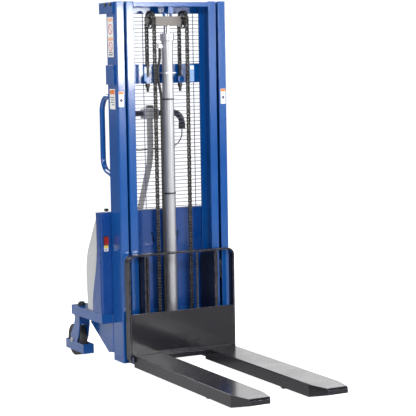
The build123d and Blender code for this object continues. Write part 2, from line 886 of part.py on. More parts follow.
# Grab handles on the backs of the outer channels
handle_radius = 14.0
handle_x = outer_half - 15
handle_top = 1384.0
handle_low = 989.0
handle_reach = 112.0
with BuildPart() as grab_handles:
    for side in (-1, 1):
        with BuildLine() as grip_line:
            FilletPolyline(
                (side * handle_x, mast_rear, handle_top),
                (side * handle_x, mast_rear + handle_reach, handle_top),
                (side * handle_x, mast_rear + handle_reach, handle_low + 26),
                (side * handle_x, mast_rear, handle_low),
                radius=[78, 70],
            )
        with BuildSketch(Plane((side * handle_x, mast_rear, handle_top), z_dir=(0, 1, 0))):
            Circle(handle_radius)
        sweep()
    block(-outer_half, outer_half, mast_rear - 40, mast_rear, handle_low - 40, handle_top, Mode.SUBTRACT)
save(grab_handles, "grab_handles")

with BuildPart() as charge_socket:
    block(-345, -322, body_front - 9, body_front, 634, 675)
    fillet(charge_socket.edges().filter_by(Axis.Y), 3)
    for z in (645, 664):
        rod(6.5, (-333.5, body_front - 10, z), (0, 1, 0), 7, Mode.SUBTRACT)
save(charge_socket, "charge_socket")

with BuildPart() as stop_button:
    rod(button_stem, (button_x, button_y, body_top - 22), (0, 0, 1), 30)
    rod(13, (button_x, button_y, body_top + 7), (0, 0, 1), 12)
    fillet(stop_button.edges().group_by(Axis.Z)[-1], 5)
save(stop_button, "stop_button")

with BuildPart() as frame_bolts:
    for side in (-1, 1):
        for y in (mast_front + 48, mast_front + 112):
            rod(9, (side * (outer_half + strap_steel), y, mast_height - 14), (side, 0, 0), 6)
    chamfer(frame_bolts.edges().filter_by(GeomType.CIRCLE), 1.2)
save(frame_bolts, "frame_bolts")

# Tiller
tiller_y = mast_front + 488
tiller_z = 420.0
tiller_pin = 8.0
ear_gap = 24.0
ear_steel = 8.0
arm_radius = 16.0
head_y = mast_front + 284
head_z = 1288.0
bar_radius = 15.0
bar_half = 187.0
bar_drop = 80.0
with BuildPart() as tiller_bracket:
    for start in (-ear_gap - ear_steel, ear_gap):
        block(start, start + ear_steel, tiller_y - 30, tiller_y + 30, arm_top, tiller_z + 26)
    rod(tiller_pin, (-60, tiller_y, tiller_z), (1, 0, 0), 120, Mode.SUBTRACT)
    tops = tiller_bracket.edges().filter_by(Axis.X).group_by(Axis.Z)[-1]
    fillet(tops, 20)
    block(-45, 45, tiller_y - 30, tiller_y + 30, arm_top, arm_top + 10)
with BuildPart() as tiller_pivot:
    rod(tiller_pin, (-ear_gap - ear_steel, tiller_y, tiller_z), (1, 0, 0), 2 * ear_gap + 2 * ear_steel)
    for start in (-ear_gap - ear_steel - 5, ear_gap + ear_steel):
        rod(tiller_pin + 4, (start, tiller_y, tiller_z), (1, 0, 0), 5)
save_group([tiller_bracket, tiller_pivot], "tiller_bracket")

with BuildPart() as tiller_arm:
    with BuildLine() as arm_line:
        FilletPolyline(
            (0, tiller_y, tiller_z),
            (0, tiller_y, 655),
            (0, head_y, 1050),
            (0, head_y, head_z - 26),
            radius=[260, 260],
        )
    with BuildSketch(Plane.XY.offset(tiller_z).move(Location((0, tiller_y, 0)))):
        Circle(arm_radius)
    sweep()
    rod(20, (-ear_gap + 2, tiller_y, tiller_z), (1, 0, 0), 2 * ear_gap - 4)
    rod(tiller_pin + pin_gap, (-60, tiller_y, tiller_z), (1, 0, 0), 120, Mode.SUBTRACT)
    block(-42, 42, head_y - 24, head_y + 24, head_z - 27, head_z + 24)
    fillet(tiller_arm.edges().group_by(Axis.Z)[-1], 5)
    rod(bar_radius, (-60, head_y, head_z), (1, 0, 0), 120, Mode.SUBTRACT)
    for x in (-19, 15):
        block(x, x + 4, head_y - 8, head_y + 8, head_z + 23, head_z + 40)
    rod(3 + pin_gap, (-60, head_y, head_z + 33), (1, 0, 0), 120, Mode.SUBTRACT)
save(tiller_arm, "tiller_arm")

with BuildPart() as lift_rocker:
    rod(7, (-14.5, head_y, head_z + 33), (1, 0, 0), 29)
    rod(3, (-19, head_y, head_z + 33), (1, 0, 0), 38)
    block(-14.5, 14.5, head_y - 17, head_y + 17, head_z + 35, head_z + 41)
save(lift_rocker, "lift_rocker")

with BuildPart() as tiller_bar:
    with BuildLine() as bar_line:
        FilletPolyline(
            (-bar_half, head_y, head_z - bar_drop),
            (-bar_half, head_y, head_z),
            (bar_half, head_y, head_z),
            (bar_half, head_y, head_z - bar_drop),
            radius=[55, 55],
        )
    with BuildSketch(Plane((-bar_half, head_y, head_z - bar_drop), z_dir=(0, 0, 1))):
        Circle(bar_radius)
    sweep()
save(tiller_bar, "tiller_bar")

grip_length = 24.0
with BuildPart() as tiller_grips:
    for x in (-bar_half, bar_half):
        rod(bar_radius + 3, (x, head_y, head_z - bar_drop - 8), (0, 0, 1), grip_length + 8)
        rod(bar_radius, (x, head_y, head_z - bar_drop), (0, 0, 1), grip_length + 1, Mode.SUBTRACT)
save(tiller_grips, "tiller_grips")

cable_radius = 3.0
cable_top = head_z - bar_drop - 8
with BuildPart() as tiller_cables:
    for side in (-1, 1):
        with BuildLine() as cable_line:
            FilletPolyline(
                (side * bar_half, head_y, cable_top),
                (side * (bar_half - 1), head_y, cable_top - 38),
                (side * 164, head_y, cable_top - 76),
                (side * 120, head_y, cable_top - 98),
                (side * 62, head_y, cable_top - 104),
                (side * arm_radius, head_y, cable_top - 101),
                radius=[50, 70, 90, 120],
            )
        with BuildSketch(Plane((side * bar_half, head_y, cable_top), z_dir=(0, 0, -1))):
            Circle(cable_radius)
        sweep()
save(tiller_cables, "tiller_cables")
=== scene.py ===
import math

import bpy
from mathutils import Matrix, Vector


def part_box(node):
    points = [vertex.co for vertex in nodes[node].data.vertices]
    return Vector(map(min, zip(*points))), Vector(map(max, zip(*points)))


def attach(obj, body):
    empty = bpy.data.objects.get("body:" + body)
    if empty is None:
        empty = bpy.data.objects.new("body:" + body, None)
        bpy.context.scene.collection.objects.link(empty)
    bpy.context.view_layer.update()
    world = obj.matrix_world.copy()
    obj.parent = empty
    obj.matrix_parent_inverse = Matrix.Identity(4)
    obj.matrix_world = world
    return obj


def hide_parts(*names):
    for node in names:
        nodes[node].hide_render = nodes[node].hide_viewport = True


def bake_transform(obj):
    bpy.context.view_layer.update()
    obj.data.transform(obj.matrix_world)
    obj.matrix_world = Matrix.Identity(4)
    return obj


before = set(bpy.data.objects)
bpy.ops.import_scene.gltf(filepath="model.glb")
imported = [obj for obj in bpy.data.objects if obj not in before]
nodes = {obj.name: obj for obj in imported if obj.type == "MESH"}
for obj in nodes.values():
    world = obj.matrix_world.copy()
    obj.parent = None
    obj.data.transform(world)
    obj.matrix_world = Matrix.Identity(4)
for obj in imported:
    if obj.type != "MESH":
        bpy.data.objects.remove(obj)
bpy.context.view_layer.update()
print("stage: frame loaded,", len(nodes), "nodes")

# camera
cameraSetup = {
    "place": (-3.360, -6.5625, 1.584),
    "turn": -27.353,  # degrees round the upright axis
    "pitch": 5.795,
    "roll": -0.971,
    "lens": 130.13,
}


def addCamera(setup):
    turn, pitch, roll = (math.radians(setup[k]) for k in ("turn", "pitch", "roll"))
    level = math.cos(pitch)
    back = Vector((math.sin(turn) * level, -math.cos(turn) * level, math.sin(pitch)))
    right = Vector((math.cos(turn), math.sin(turn), 0))
    up = back.cross(right)
    across = right * math.cos(roll) + up * math.sin(roll)
    upright = up * math.cos(roll) - right * math.sin(roll)
    bpy.ops.object.camera_add(location=setup["place"])
    camera = bpy.context.object
    camera.name = "mainCamera"
    facing = Matrix((across, upright, back)).transposed()
    camera.matrix_world = Matrix.Translation(setup["place"]) @ facing.to_4x4()
    camera.data.lens = setup["lens"]
    camera.data.sensor_width = 36
    camera.data.dof.use_dof = False
    bpy.context.scene.camera = camera


addCamera(cameraSetup)

# light and floor
studio = {
    "floorSize": 60,
    "floorColour": (0.55, 0.55, 0.56, 1),
    "worldColour": (0.96, 0.98, 1.0, 1),
    "worldStrength": 1.15,
    "roomStrength": 0.8,
    "roomShades": [(0.0, 0.50), (0.40, 0.14)],
    "floorGlow": 1.0,
    "floorBounce": 0.05,
    "lights": [  # name, place, aim, size, power
        ("keyLight", (-1.6, -5.0, 3.4), (0, 0, 0.9), 1.4, 215),
        ("leftLight", (-4.6, -0.6, 2.2), (0, 0, 0.8), 1.8, 72),
        ("stripLight", (2.75, -6.4, 1.7), (-0.3, 0.3, 1.1), 0.7, 75),
        ("sideLight", (4.5, -2.0, 2.4), (0, 0, 0.9), 1.6, 150),
        ("backLight", (-1.5, 4.5, 3.5), (0, 0, 1.0), 2.5, 130),
        ("topLight", (0.5, -0.5, 5.0), (0, 0, 0), 2.5, 130),
        ("forkSheen", (3.7, 5.1, 1.75), (0, -0.9, 0.1), 1.5, 14),
    ],
}


def clearSelection():
    bpy.ops.object.select_all(action="DESELECT")
    bpy.context.view_layer.objects.active = None


def addStudio(setup):
    clearSelection()
    bpy.ops.mesh.primitive_plane_add(size=setup["floorSize"], location=(0, 0, 0))
    floor = bpy.context.object
    floor.name = "studioFloor"
    floorPaint = bpy.data.materials.new("floorPaint")
    floorPaint.use_nodes = True
    shader = floorPaint.node_tree.nodes["Principled BSDF"]
    shader.inputs["Base Color"].default_value = setup["floorColour"]
    shader.inputs["Roughness"].default_value = 0.9
    shader.inputs["Specular IOR Level"].default_value = 0.1
    shader.inputs["Emission Color"].default_value = (1, 1, 1, 1)
    # the floor looks white, but doesn't flood the paint with its reflection
    rays = floorPaint.node_tree.nodes.new("ShaderNodeLightPath")
    glow = floorPaint.node_tree.nodes.new("ShaderNodeMapRange")
    glow.inputs["To Min"].default_value = setup["floorBounce"]
    glow.inputs["To Max"].default_value = setup["floorGlow"]
    floorPaint.node_tree.links.new(rays.outputs["Is Camera Ray"], glow.inputs["Value"])
    floorPaint.node_tree.links.new(glow.outputs["Result"], shader.inputs["Emission Strength"])
    floor.data.materials.append(floorPaint)
    for name, place, aim, size, power in setup["lights"]:
        bpy.ops.object.light_add(type="AREA", location=place)
        light = bpy.context.object
        light.name = name
        light.data.size = size
        light.data.energy = power
        light.rotation_euler = (Vector(aim) - Vector(place)).to_track_quat("-Z", "Y").to_euler()
    world = bpy.data.worlds.new("paleStudio")
    world.use_nodes = True
    bpy.context.scene.world = world
    tree = world.node_tree
    sky = tree.nodes["Background"]
    sky.inputs["Color"].default_value = setup["worldColour"]
    sky.inputs["Strength"].default_value = setup["worldStrength"]
    # what the eye sees is white, and what lights the machine is a dim room, paler low down
    room = tree.nodes.new("ShaderNodeBackground")
    room.inputs["Strength"].default_value = setup["roomStrength"]
    place = tree.nodes.new("ShaderNodeTexCoord")
    split = tree.nodes.new("ShaderNodeSeparateXYZ")
    ramp = tree.nodes.new("ShaderNodeValToRGB")
    for element, (stop, shade) in zip(ramp.color_ramp.elements, setup["roomShades"]):
        element.position = stop
        element.color = (shade, shade, shade * 1.05, 1)
    rays = tree.nodes.new("ShaderNodeLightPath")
    mix = tree.nodes.new("ShaderNodeMixShader")
    tree.links.new(place.outputs["Generated"], split.inputs[0])
    tree.links.new(split.outputs["Z"], ramp.inputs[0])
    tree.links.new(ramp.outputs[0], room.inputs["Color"])
    tree.links.new(rays.outputs["Is Camera Ray"], mix.inputs[0])
    tree.links.new(room.outputs[0], mix.inputs[1])
    tree.links.new(sky.outputs[0], mix.inputs[2])
    tree.links.new(mix.outputs[0], tree.nodes["World Output"].inputs["Surface"])
    bpy.context.scene.view_settings.view_transform = "Standard"


addStudio(studio)
print("stage: camera and studio ready")

# node groups for the finishes


def newGroup(name, inputs, outputs):
    group = bpy.data.node_groups.new(name, "ShaderNodeTree")
    for label, kind, value in inputs:
        socket = group.interface.new_socket(label, in_out="INPUT", socket_type=kind)
        if value is not None:
            socket.default_value = value
    for label, kind in outputs:
        group.interface.new_socket(label, in_out="OUTPUT", socket_type=kind)
    return group, group.nodes.new("NodeGroupInput"), group.nodes.new("NodeGroupOutput")


def addNode(tree, kind, settings=None, **values):
    node = tree.nodes.new(kind)
    for key, value in (settings or {}).items():
        setattr(node, key, value)
    for key, value in values.items():
        node.inputs[key.replace("_", " ")].default_value = value
    return node


def mathNode(tree, operation, first, second=0.5, clamp=False):
    node = tree.nodes.new("ShaderNodeMath")
    node.operation = operation
    node.use_clamp = clamp
    for i, value in enumerate((first, second)):
        if isinstance(value, (int, float)):
            node.inputs[i].default_value = value
        else:
            tree.links.new(value, node.inputs[i])
    return node.outputs[0]


def makeEdgeWearAndHighlight():
    # A mask of 0 to 1 along sharp edges, broken up by noise; it lays real edge wear on some finishes
    # and a painted edge highlight on others
    group, inputs, outputs = newGroup(
        "edgeWearAndHighlight",
        [("Radius", "NodeSocketFloat", 0.002), ("Breakup", "NodeSocketFloat", 60.0),
         ("Amount", "NodeSocketFloat", 0.5)],
        [("Mask", "NodeSocketFloat")],
    )
    links = group.links
    place = addNode(group, "ShaderNodeTexCoord")
    bevel = addNode(group, "ShaderNodeBevel", {"samples": 4})
    geometry = addNode(group, "ShaderNodeNewGeometry")
    facing = addNode(group, "ShaderNodeVectorMath", {"operation": "DOT_PRODUCT"})
    noise = addNode(group, "ShaderNodeTexNoise", Detail=5.0, Roughness=0.65)
    links.new(inputs.outputs["Radius"], bevel.inputs["Radius"])
    links.new(bevel.outputs[0], facing.inputs[0])
    links.new(geometry.outputs["Normal"], facing.inputs[1])
    links.new(place.outputs["Object"], noise.inputs["Vector"])
    links.new(inputs.outputs["Breakup"], noise.inputs["Scale"])
    edge = mathNode(group, "SUBTRACT", 1.0, facing.outputs["Value"])
    edge = mathNode(group, "MULTIPLY", edge, 9.0, clamp=True)
    grain = mathNode(group, "SUBTRACT", noise.outputs[0], 0.42)
    grain = mathNode(group, "MULTIPLY", grain, 5.0, clamp=True)
    mask = mathNode(group, "MULTIPLY", edge, grain)
    mask = mathNode(group, "MULTIPLY", mask, inputs.outputs["Amount"], clamp=True)
    links.new(mask, outputs.inputs["Mask"])
    return group


def makeColourDrift():
    # Slow change of shade over a surface, with fine specks
    group, inputs, outputs = newGroup(
        "colourDrift",
        [("Colour", "NodeSocketColor", None), ("Second", "NodeSocketColor", None),
         ("Scale", "NodeSocketFloat", 4.0), ("Amount", "NodeSocketFloat", 0.4)],
        [("Colour", "NodeSocketColor"), ("Value", "NodeSocketFloat")],
    )
    links = group.links
    place = addNode(group, "ShaderNodeTexCoord")
    noise = addNode(group, "ShaderNodeTexNoise", Detail=4.0)
    fine = addNode(group, "ShaderNodeTexNoise", Scale=420.0, Detail=2.0)
    mix = addNode(group, "ShaderNodeMix", {"data_type": "RGBA"})
    links.new(place.outputs["Object"], noise.inputs["Vector"])
    links.new(place.outputs["Object"], fine.inputs["Vector"])
    links.new(inputs.outputs["Scale"], noise.inputs["Scale"])
    both = mathNode(group, "ADD", mathNode(group, "MULTIPLY", noise.outputs[0], 0.75),
                 mathNode(group, "MULTIPLY", fine.outputs[0], 0.25))
    share = mathNode(group, "MULTIPLY", both, inputs.outputs["Amount"], clamp=True)
    links.new(share, mix.inputs["Factor"])
    links.new(inputs.outputs["Colour"], mix.inputs[6])
    links.new(inputs.outputs["Second"], mix.inputs[7])
    links.new(mix.outputs[2], outputs.inputs["Colour"])
    links.new(both, outputs.inputs["Value"])
    return group


def makeFloorDust():
    # Pale dust that gathers low on the machine and on faces that look up
    group, inputs, outputs = newGroup(
        "floorDust",
        [("Amount", "NodeSocketFloat", 0.2), ("Height", "NodeSocketFloat", 0.35)],
        [("Mask", "NodeSocketFloat")],
    )
    links = group.links
    place = addNode(group, "ShaderNodeTexCoord")
    split = addNode(group, "ShaderNodeSeparateXYZ")
    geometry = addNode(group, "ShaderNodeNewGeometry")
    up = addNode(group, "ShaderNodeSeparateXYZ")
    noise = addNode(group, "ShaderNodeTexNoise", Scale=22.0, Detail=6.0, Roughness=0.7)
    links.new(place.outputs["Object"], split.inputs[0])
    links.new(place.outputs["Object"], noise.inputs["Vector"])
    links.new(geometry.outputs["Normal"], up.inputs[0])
    low = mathNode(group, "DIVIDE", split.outputs["Z"], inputs.outputs["Height"])
    low = mathNode(group, "SUBTRACT", 1.0, low, clamp=True)
    flat = mathNode(group, "MULTIPLY", up.outputs["Z"], 0.6, clamp=True)
    both = mathNode(group, "ADD", mathNode(group, "MULTIPLY", low, 0.6), flat)
    cloud = mathNode(group, "SUBTRACT", noise.outputs[0], 0.35)
    cloud = mathNode(group, "MULTIPLY", cloud, 2.4, clamp=True)
    mask = mathNode(group, "MULTIPLY", both, cloud)
    mask = mathNode(group, "MULTIPLY", mask, inputs.outputs["Amount"], clamp=True)
    links.new(mask, outputs.inputs["Mask"])
    return group


def makeSurfaceBump():
    # Orange peel, casting grain or brushing as a height
    group, inputs, outputs = newGroup(
        "surfaceBump",
        [("Coarse Scale", "NodeSocketFloat", 180.0), ("Fine Scale", "NodeSocketFloat", 900.0),
         ("Fine Share", "NodeSocketFloat", 0.3), ("Stretch", "NodeSocketVector", None)],
        [("Height", "NodeSocketFloat")],
    )
    links = group.links
    place = addNode(group, "ShaderNodeTexCoord")
    stretch = addNode(group, "ShaderNodeVectorMath", {"operation": "MULTIPLY"})
    coarse = addNode(group, "ShaderNodeTexNoise", Detail=2.0)
    fine = addNode(group, "ShaderNodeTexNoise", Detail=3.0)
    links.new(place.outputs["Object"], stretch.inputs[0])
    links.new(inputs.outputs["Stretch"], stretch.inputs[1])
    for texture, label in ((coarse, "Coarse Scale"), (fine, "Fine Scale")):
        links.new(stretch.outputs[0], texture.inputs["Vector"])
        links.new(inputs.outputs[label], texture.inputs["Scale"])
    height = mathNode(group, "ADD", coarse.outputs[0],
                   mathNode(group, "MULTIPLY", fine.outputs[0], inputs.outputs["Fine Share"]))
    links.new(height, outputs.inputs["Height"])
    return group


groups = {
    "wearAndHighlight": makeEdgeWearAndHighlight(),
    "drift": makeColourDrift(),
    "dust": makeFloorDust(),
    "bump": makeSurfaceBump(),
}


def placeGroup(tree, name, **values):
    node = tree.nodes.new("ShaderNodeGroup")
    node.node_tree = groups[name]
    for key, value in values.items():
        node.inputs[key.replace("_", " ")].default_value = value
    return node


def mixColours(tree, factor, first, second):
    mix = tree.nodes.new("ShaderNodeMix")
    mix.data_type = "RGBA"
    tree.links.new(factor, mix.inputs["Factor"])
    for value, socket in ((first, mix.inputs[6]), (second, mix.inputs[7])):
        if isinstance(value, tuple):
            socket.default_value = value
        else:
            tree.links.new(value, socket)
    return mix.outputs[2]


# finishes
labelPaints = {
    "labelWhite": ((0.86, 0.86, 0.84, 1), (0.80, 0.80, 0.78, 1)),
    "labelOrange": ((0.78, 0.22, 0.04, 1), (0.70, 0.18, 0.03, 1)),
    "labelPeach": ((0.85, 0.50, 0.32, 1), (0.78, 0.44, 0.27, 1)),
    "labelRed": ((0.62, 0.07, 0.08, 1), (0.55, 0.05, 0.06, 1)),
    "labelDark": ((0.04, 0.05, 0.09, 1), (0.06, 0.07, 0.12, 1)),
    "labelYellow": ((0.85, 0.60, 0.08, 1), (0.76, 0.52, 0.06, 1)),
    "labelBlue": ((0.20, 0.34, 0.60, 1), (0.17, 0.29, 0.53, 1)),
}
finishes = {
    # name: colours, roughness, metal, coat, edge wear and painted edge highlight, dust, bump
    # the light blue worn colour along the mast's edges is a painted edge highlight
    "mastBlue": dict(
        colour=(0.001, 0.056, 0.245, 1), second=(0.002, 0.086, 0.340, 1), rough=0.20, coat=0.45,
        wornAndHighlightColour=(0.10, 0.22, 0.52, 1), wearAndHighlight=0.55, wearRadius=0.0032, dust=0.025, bump=0.05, coarse=220,
    ),
    # the light blue worn colour along the shell's edges is a painted edge highlight
    "shellBlue": dict(
        colour=(0.002, 0.044, 0.220, 1), second=(0.005, 0.066, 0.300, 1), rough=0.28, coat=0.35,
        wornAndHighlightColour=(0.10, 0.22, 0.50, 1), wearAndHighlight=0.45, wearRadius=0.002, dust=0.025, bump=0.06, coarse=260,
    ),
    "coverGrey": dict(
        colour=(0.60, 0.605, 0.605, 1), second=(0.53, 0.535, 0.54, 1), rough=0.42, coat=0.25,
        wornAndHighlightColour=(0.80, 0.79, 0.74, 1), wearAndHighlight=0.5, wearRadius=0.0036, dust=0.03, bump=0.08, coarse=340,
    ),
    "creamBead": dict(
        colour=(0.80, 0.74, 0.58, 1), second=(0.70, 0.64, 0.50, 1),
        rough=0.5, dust=0.05, bump=0.05, coarse=300,
    ),
    "batteryCase": dict(
        colour=(0.03, 0.03, 0.033, 1), second=(0.05, 0.05, 0.055, 1), rough=0.6, wearAndHighlight=0.3,
        wornAndHighlightColour=(0.16, 0.16, 0.17, 1), dust=0.2, bump=0.3, coarse=700,
    ),
    "pumpSteel": dict(
        colour=(0.10, 0.11, 0.12, 1), second=(0.15, 0.16, 0.17, 1), rough=0.4, metal=0.6, wearAndHighlight=0.5,
        wornAndHighlightColour=(0.4, 0.4, 0.4, 1), dust=0.15, bump=0.15, coarse=300,
    ),
    "cylinderSilver": dict(
        colour=(0.58, 0.585, 0.61, 1), second=(0.50, 0.505, 0.53, 1), rough=0.36, metal=0.75, coat=0.15,
        wornAndHighlightColour=(0.85, 0.85, 0.88, 1), wearAndHighlight=0.4, dust=0.02, bump=0.05, coarse=300,
    ),
    "rodChrome": dict(
        colour=(0.80, 0.81, 0.83, 1), second=(0.70, 0.71, 0.74, 1), rough=0.10, metal=1.0,
        bump=0.03, coarse=900, stretch=(1, 1, 0.02),
    ),
    "hoseRubber": dict(
        colour=(0.016, 0.016, 0.018, 1), second=(0.030, 0.030, 0.033, 1), rough=0.55, dust=0.08,
        bump=0.35, coarse=1600, stretch=(1, 1, 0.25),
    ),
    "zincPlate": dict(
        colour=(0.62, 0.63, 0.64, 1), second=(0.45, 0.46, 0.46, 1), rough=0.34, metal=0.9, wearAndHighlight=0.3,
        wornAndHighlightColour=(0.8, 0.8, 0.8, 1), dust=0.05, bump=0.12, coarse=520, drift=30,
    ),
    "wireBlue": dict(
        colour=(0.045, 0.060, 0.150, 1), second=(0.080, 0.100, 0.220, 1),
        rough=0.4, coat=0.2, bump=0.05,
        coarse=600,
    ),
    "castGrey": dict(
        colour=(0.20, 0.185, 0.175, 1), second=(0.28, 0.26, 0.245, 1), rough=0.5, metal=0.45, wearAndHighlight=0.5,
        wornAndHighlightColour=(0.5, 0.48, 0.46, 1), bump=0.35, coarse=420,
    ),
    # the pale worn colour on the link edges is partly real wear and partly a painted glint
    "chainSteel": dict(
        colour=(0.036, 0.033, 0.032, 1), second=(0.085, 0.078, 0.074, 1),
        rough=0.36, metal=0.75, wearAndHighlight=0.8,
        wornAndHighlightColour=(0.42, 0.40, 0.38, 1), wearRadius=0.0008, bump=0.12, coarse=900, drift=60,
    ),
    # the lilac worn colour along the fork edges is a painted edge highlight
    "forkBlack": dict(
        colour=(0.0070, 0.0060, 0.0085, 1), second=(0.013, 0.0115, 0.016, 1), rough=0.24, coat=0.18,
        specular=0.36, wornAndHighlightColour=(0.26, 0.24, 0.34, 1), wearAndHighlight=0.9, wearRadius=0.0036, dust=0.012, bump=0.06,
        coarse=260,
    ),
    "wheelBlack": dict(
        colour=(0.014, 0.014, 0.015, 1), second=(0.032, 0.032, 0.034, 1), rough=0.62, dust=0.25,
        bump=0.30, coarse=500,
    ),
    "socketRed": dict(
        colour=(0.30, 0.012, 0.010, 1), second=(0.40, 0.025, 0.018, 1),
        rough=0.38, coat=0.2, bump=0.15, coarse=700,
    ),
    "knobBlack": dict(
        colour=(0.012, 0.012, 0.013, 1), second=(0.026, 0.026, 0.028, 1),
        rough=0.30, coat=0.2, bump=0.1, coarse=700,
    ),
    "gripRubber": dict(
        colour=(0.015, 0.015, 0.016, 1), second=(0.032, 0.032, 0.035, 1),
        rough=0.66, dust=0.1, bump=0.5, coarse=1200,
    ),
    "tillerGrey": dict(
        colour=(0.30, 0.29, 0.275, 1), second=(0.37, 0.36, 0.34, 1), rough=0.36, coat=0.3, wearAndHighlight=0.4,
        wornAndHighlightColour=(0.55, 0.54, 0.52, 1), bump=0.08, coarse=300,
    ),
    **{
        name: dict(colour=first, second=second, rough=0.35, bump=0.03, coarse=500)
        for name, (first, second) in labelPaints.items()
    },
    "tieBlack": dict(
        colour=(0.012, 0.012, 0.012, 1), second=(0.03, 0.03, 0.03, 1),
        rough=0.45, bump=0.2, coarse=800,
    ),
    "weldBlue": dict(
        colour=(0.012, 0.062, 0.310, 1), second=(0.020, 0.090, 0.400, 1),
        rough=0.32, coat=0.5, bump=0.5, coarse=420,
    ),
    "weldBlack": dict(
        colour=(0.020, 0.020, 0.023, 1), second=(0.040, 0.040, 0.046, 1),
        rough=0.36, coat=0.3, bump=0.5, coarse=420,
    ),
}


def makeFinish(name, spec):
    material = bpy.data.materials.new(name)
    material.use_nodes = True
    tree = material.node_tree
    links = tree.links
    shader = tree.nodes["Principled BSDF"]
    shader.inputs["Metallic"].default_value = spec.get("metal", 0.0)
    shader.inputs["Specular IOR Level"].default_value = spec.get("specular", 0.5)
    shader.inputs["Coat Weight"].default_value = spec.get("coat", 0.0)
    shader.inputs["Coat Roughness"].default_value = 0.08
    drift = placeGroup(
        tree, "drift", Colour=spec["colour"], Second=spec["second"],
        Scale=float(spec.get("drift", 5.0)), Amount=0.9,
    )
    colour = drift.outputs["Colour"]
    rough = mathNode(tree, "MULTIPLY_ADD", drift.outputs["Value"], 0.22)
    rough.node.inputs[2].default_value = spec["rough"] - 0.11
    # lighter colour along the edges: real wear on most finishes, a painted edge highlight on the blue
    # paint and the black forks, partly a painted glint on the chain
    if spec.get("wearAndHighlight"):
        wearAndHighlight = placeGroup(
            tree, "wearAndHighlight", Radius=spec.get("wearRadius", 0.0015), Breakup=45.0, Amount=spec["wearAndHighlight"],
        )
        colour = mixColours(tree, wearAndHighlight.outputs["Mask"], colour, spec["wornAndHighlightColour"])
    if spec.get("dust"):
        dust = placeGroup(tree, "dust", Amount=spec["dust"], Height=0.35)
        colour = mixColours(tree, dust.outputs["Mask"], colour, (0.42, 0.40, 0.37, 1))
        matt = mathNode(tree, "MULTIPLY", dust.outputs["Mask"], 0.5)
        rough = mathNode(tree, "ADD", rough, matt, clamp=True)
    bump = placeGroup(
        tree, "bump", Coarse_Scale=float(spec["coarse"]), Fine_Scale=float(spec["coarse"]) * 4,
        Fine_Share=0.3, Stretch=spec.get("stretch", (1, 1, 1)),
    )
    relief = addNode(tree, "ShaderNodeBump", Strength=spec["bump"], Distance=0.0006)
    if spec.get("wearRadius"):  # pressed and painted edges are a little round
        rounded = addNode(tree, "ShaderNodeBevel", {"samples": 4}, Radius=spec["wearRadius"])
        links.new(rounded.outputs["Normal"], relief.inputs["Normal"])
    links.new(bump.outputs["Height"], relief.inputs["Height"])
    links.new(relief.outputs["Normal"], shader.inputs["Normal"])
    links.new(colour, shader.inputs["Base Color"])
    links.new(rough, shader.inputs["Roughness"])
    return material


materials = {name: makeFinish(name, spec) for name, spec in finishes.items()}

nodeFinish = {
    "mastBlue": (
        "outer_channel_left outer_channel_right outer_top_beam outer_mid_beam base_frame"
        " support_leg_left support_leg_right inner_channel_left inner_channel_right inner_ties"
        " side_gussets caster_frame tiller_bracket grab_handles caster_fork_left caster_fork_right"
    ),
    "shellBlue": "body_shell",
    "coverGrey": "rear_cover",
    "batteryCase": "battery",
    "pumpSteel": "power_unit",
    "cylinderSilver": "cylinder_barrel cylinder_head cylinder_ring",
    "rodChrome": "piston_rod",
    "hoseRubber": "lift_hose tiller_cables",
    "zincPlate": "hose_fittings load_roller_axles caster_axle_left caster_axle_right",
    "castGrey": "crosshead mast_rollers carriage_rollers",
    "chainSteel": "back_anchors front_anchors frame_bolts",
    "wireBlue": "mesh_guard",
    "forkBlack": (
        "carriage_side_left carriage_side_right carriage_bars backrest_frame load_plate"
        " fork_left fork_right heel_beam"
    ),
    "socketRed": "charge_socket",
    "knobBlack": "tiller_bar lift_rocker",
    "gripRubber": "tiller_grips",
    "tillerGrey": "tiller_arm",
}

for finish, names in nodeFinish.items():
    for name in names.split():
        mesh = nodes[name].data
        mesh.materials.clear()
        mesh.materials.append(materials[finish])
print("stage: finishes on the carried-over nodes")

# modelling helpers


def startPiece(kind, **place):
    clearSelection()
    getattr(bpy.ops.mesh, kind)(**place)
    return bpy.context.object


def editMode(obj):
    bpy.context.view_layer.objects.active = obj
    obj.select_set(True)
    bpy.ops.object.mode_set(mode="EDIT")


def objectMode():
    bpy.ops.object.mode_set(mode="OBJECT")


def pickFaces(obj, test):
    # Selects the faces whose centre and normal pass the test, in edit mode
    objectMode()
    mesh = obj.data
    for part in (mesh.vertices, mesh.edges, mesh.polygons):
        part.foreach_set("select", [False] * len(part))
    for face in mesh.polygons:
        face.select = test(face.center, face.normal)
    bpy.ops.object.mode_set(mode="EDIT")
    bpy.ops.mesh.select_mode(type="FACE")


def pickEdges(obj, test):
    objectMode()
    mesh = obj.data
    for part in (mesh.vertices, mesh.edges, mesh.polygons):
        part.foreach_set("select", [False] * len(part))
    bpy.ops.object.mode_set(mode="EDIT")
    bpy.ops.mesh.select_mode(type="EDGE")
    objectMode()
    for edge in mesh.edges:
        a, b = (mesh.vertices[i].co for i in edge.vertices)
        edge.select = test(a, b)
    bpy.ops.object.mode_set(mode="EDIT")


def applyModifier(obj, kind, **settings):
    clearSelection()
    obj.select_set(True)
    bpy.context.view_layer.objects.active = obj
    bpy.ops.object.modifier_add(type=kind)
    modifier = obj.modifiers[-1]
    for key, value in settings.items():
        setattr(modifier, key, value)
    bpy.ops.object.modifier_apply(modifier=modifier.name)


def settle(obj):
    # Puts the object's place, turn and scale into its mesh
    clearSelection()
    obj.select_set(True)
    bpy.context.view_layer.objects.active = obj
    bpy.ops.object.transform_apply(location=True, rotation=True, scale=True)


def joinAll(parts):
    clearSelection()
    for part in parts:
        part.select_set(True)
    bpy.context.view_layer.objects.active = parts[0]
    if len(parts) > 1:
        bpy.ops.object.join()
    return parts[0]


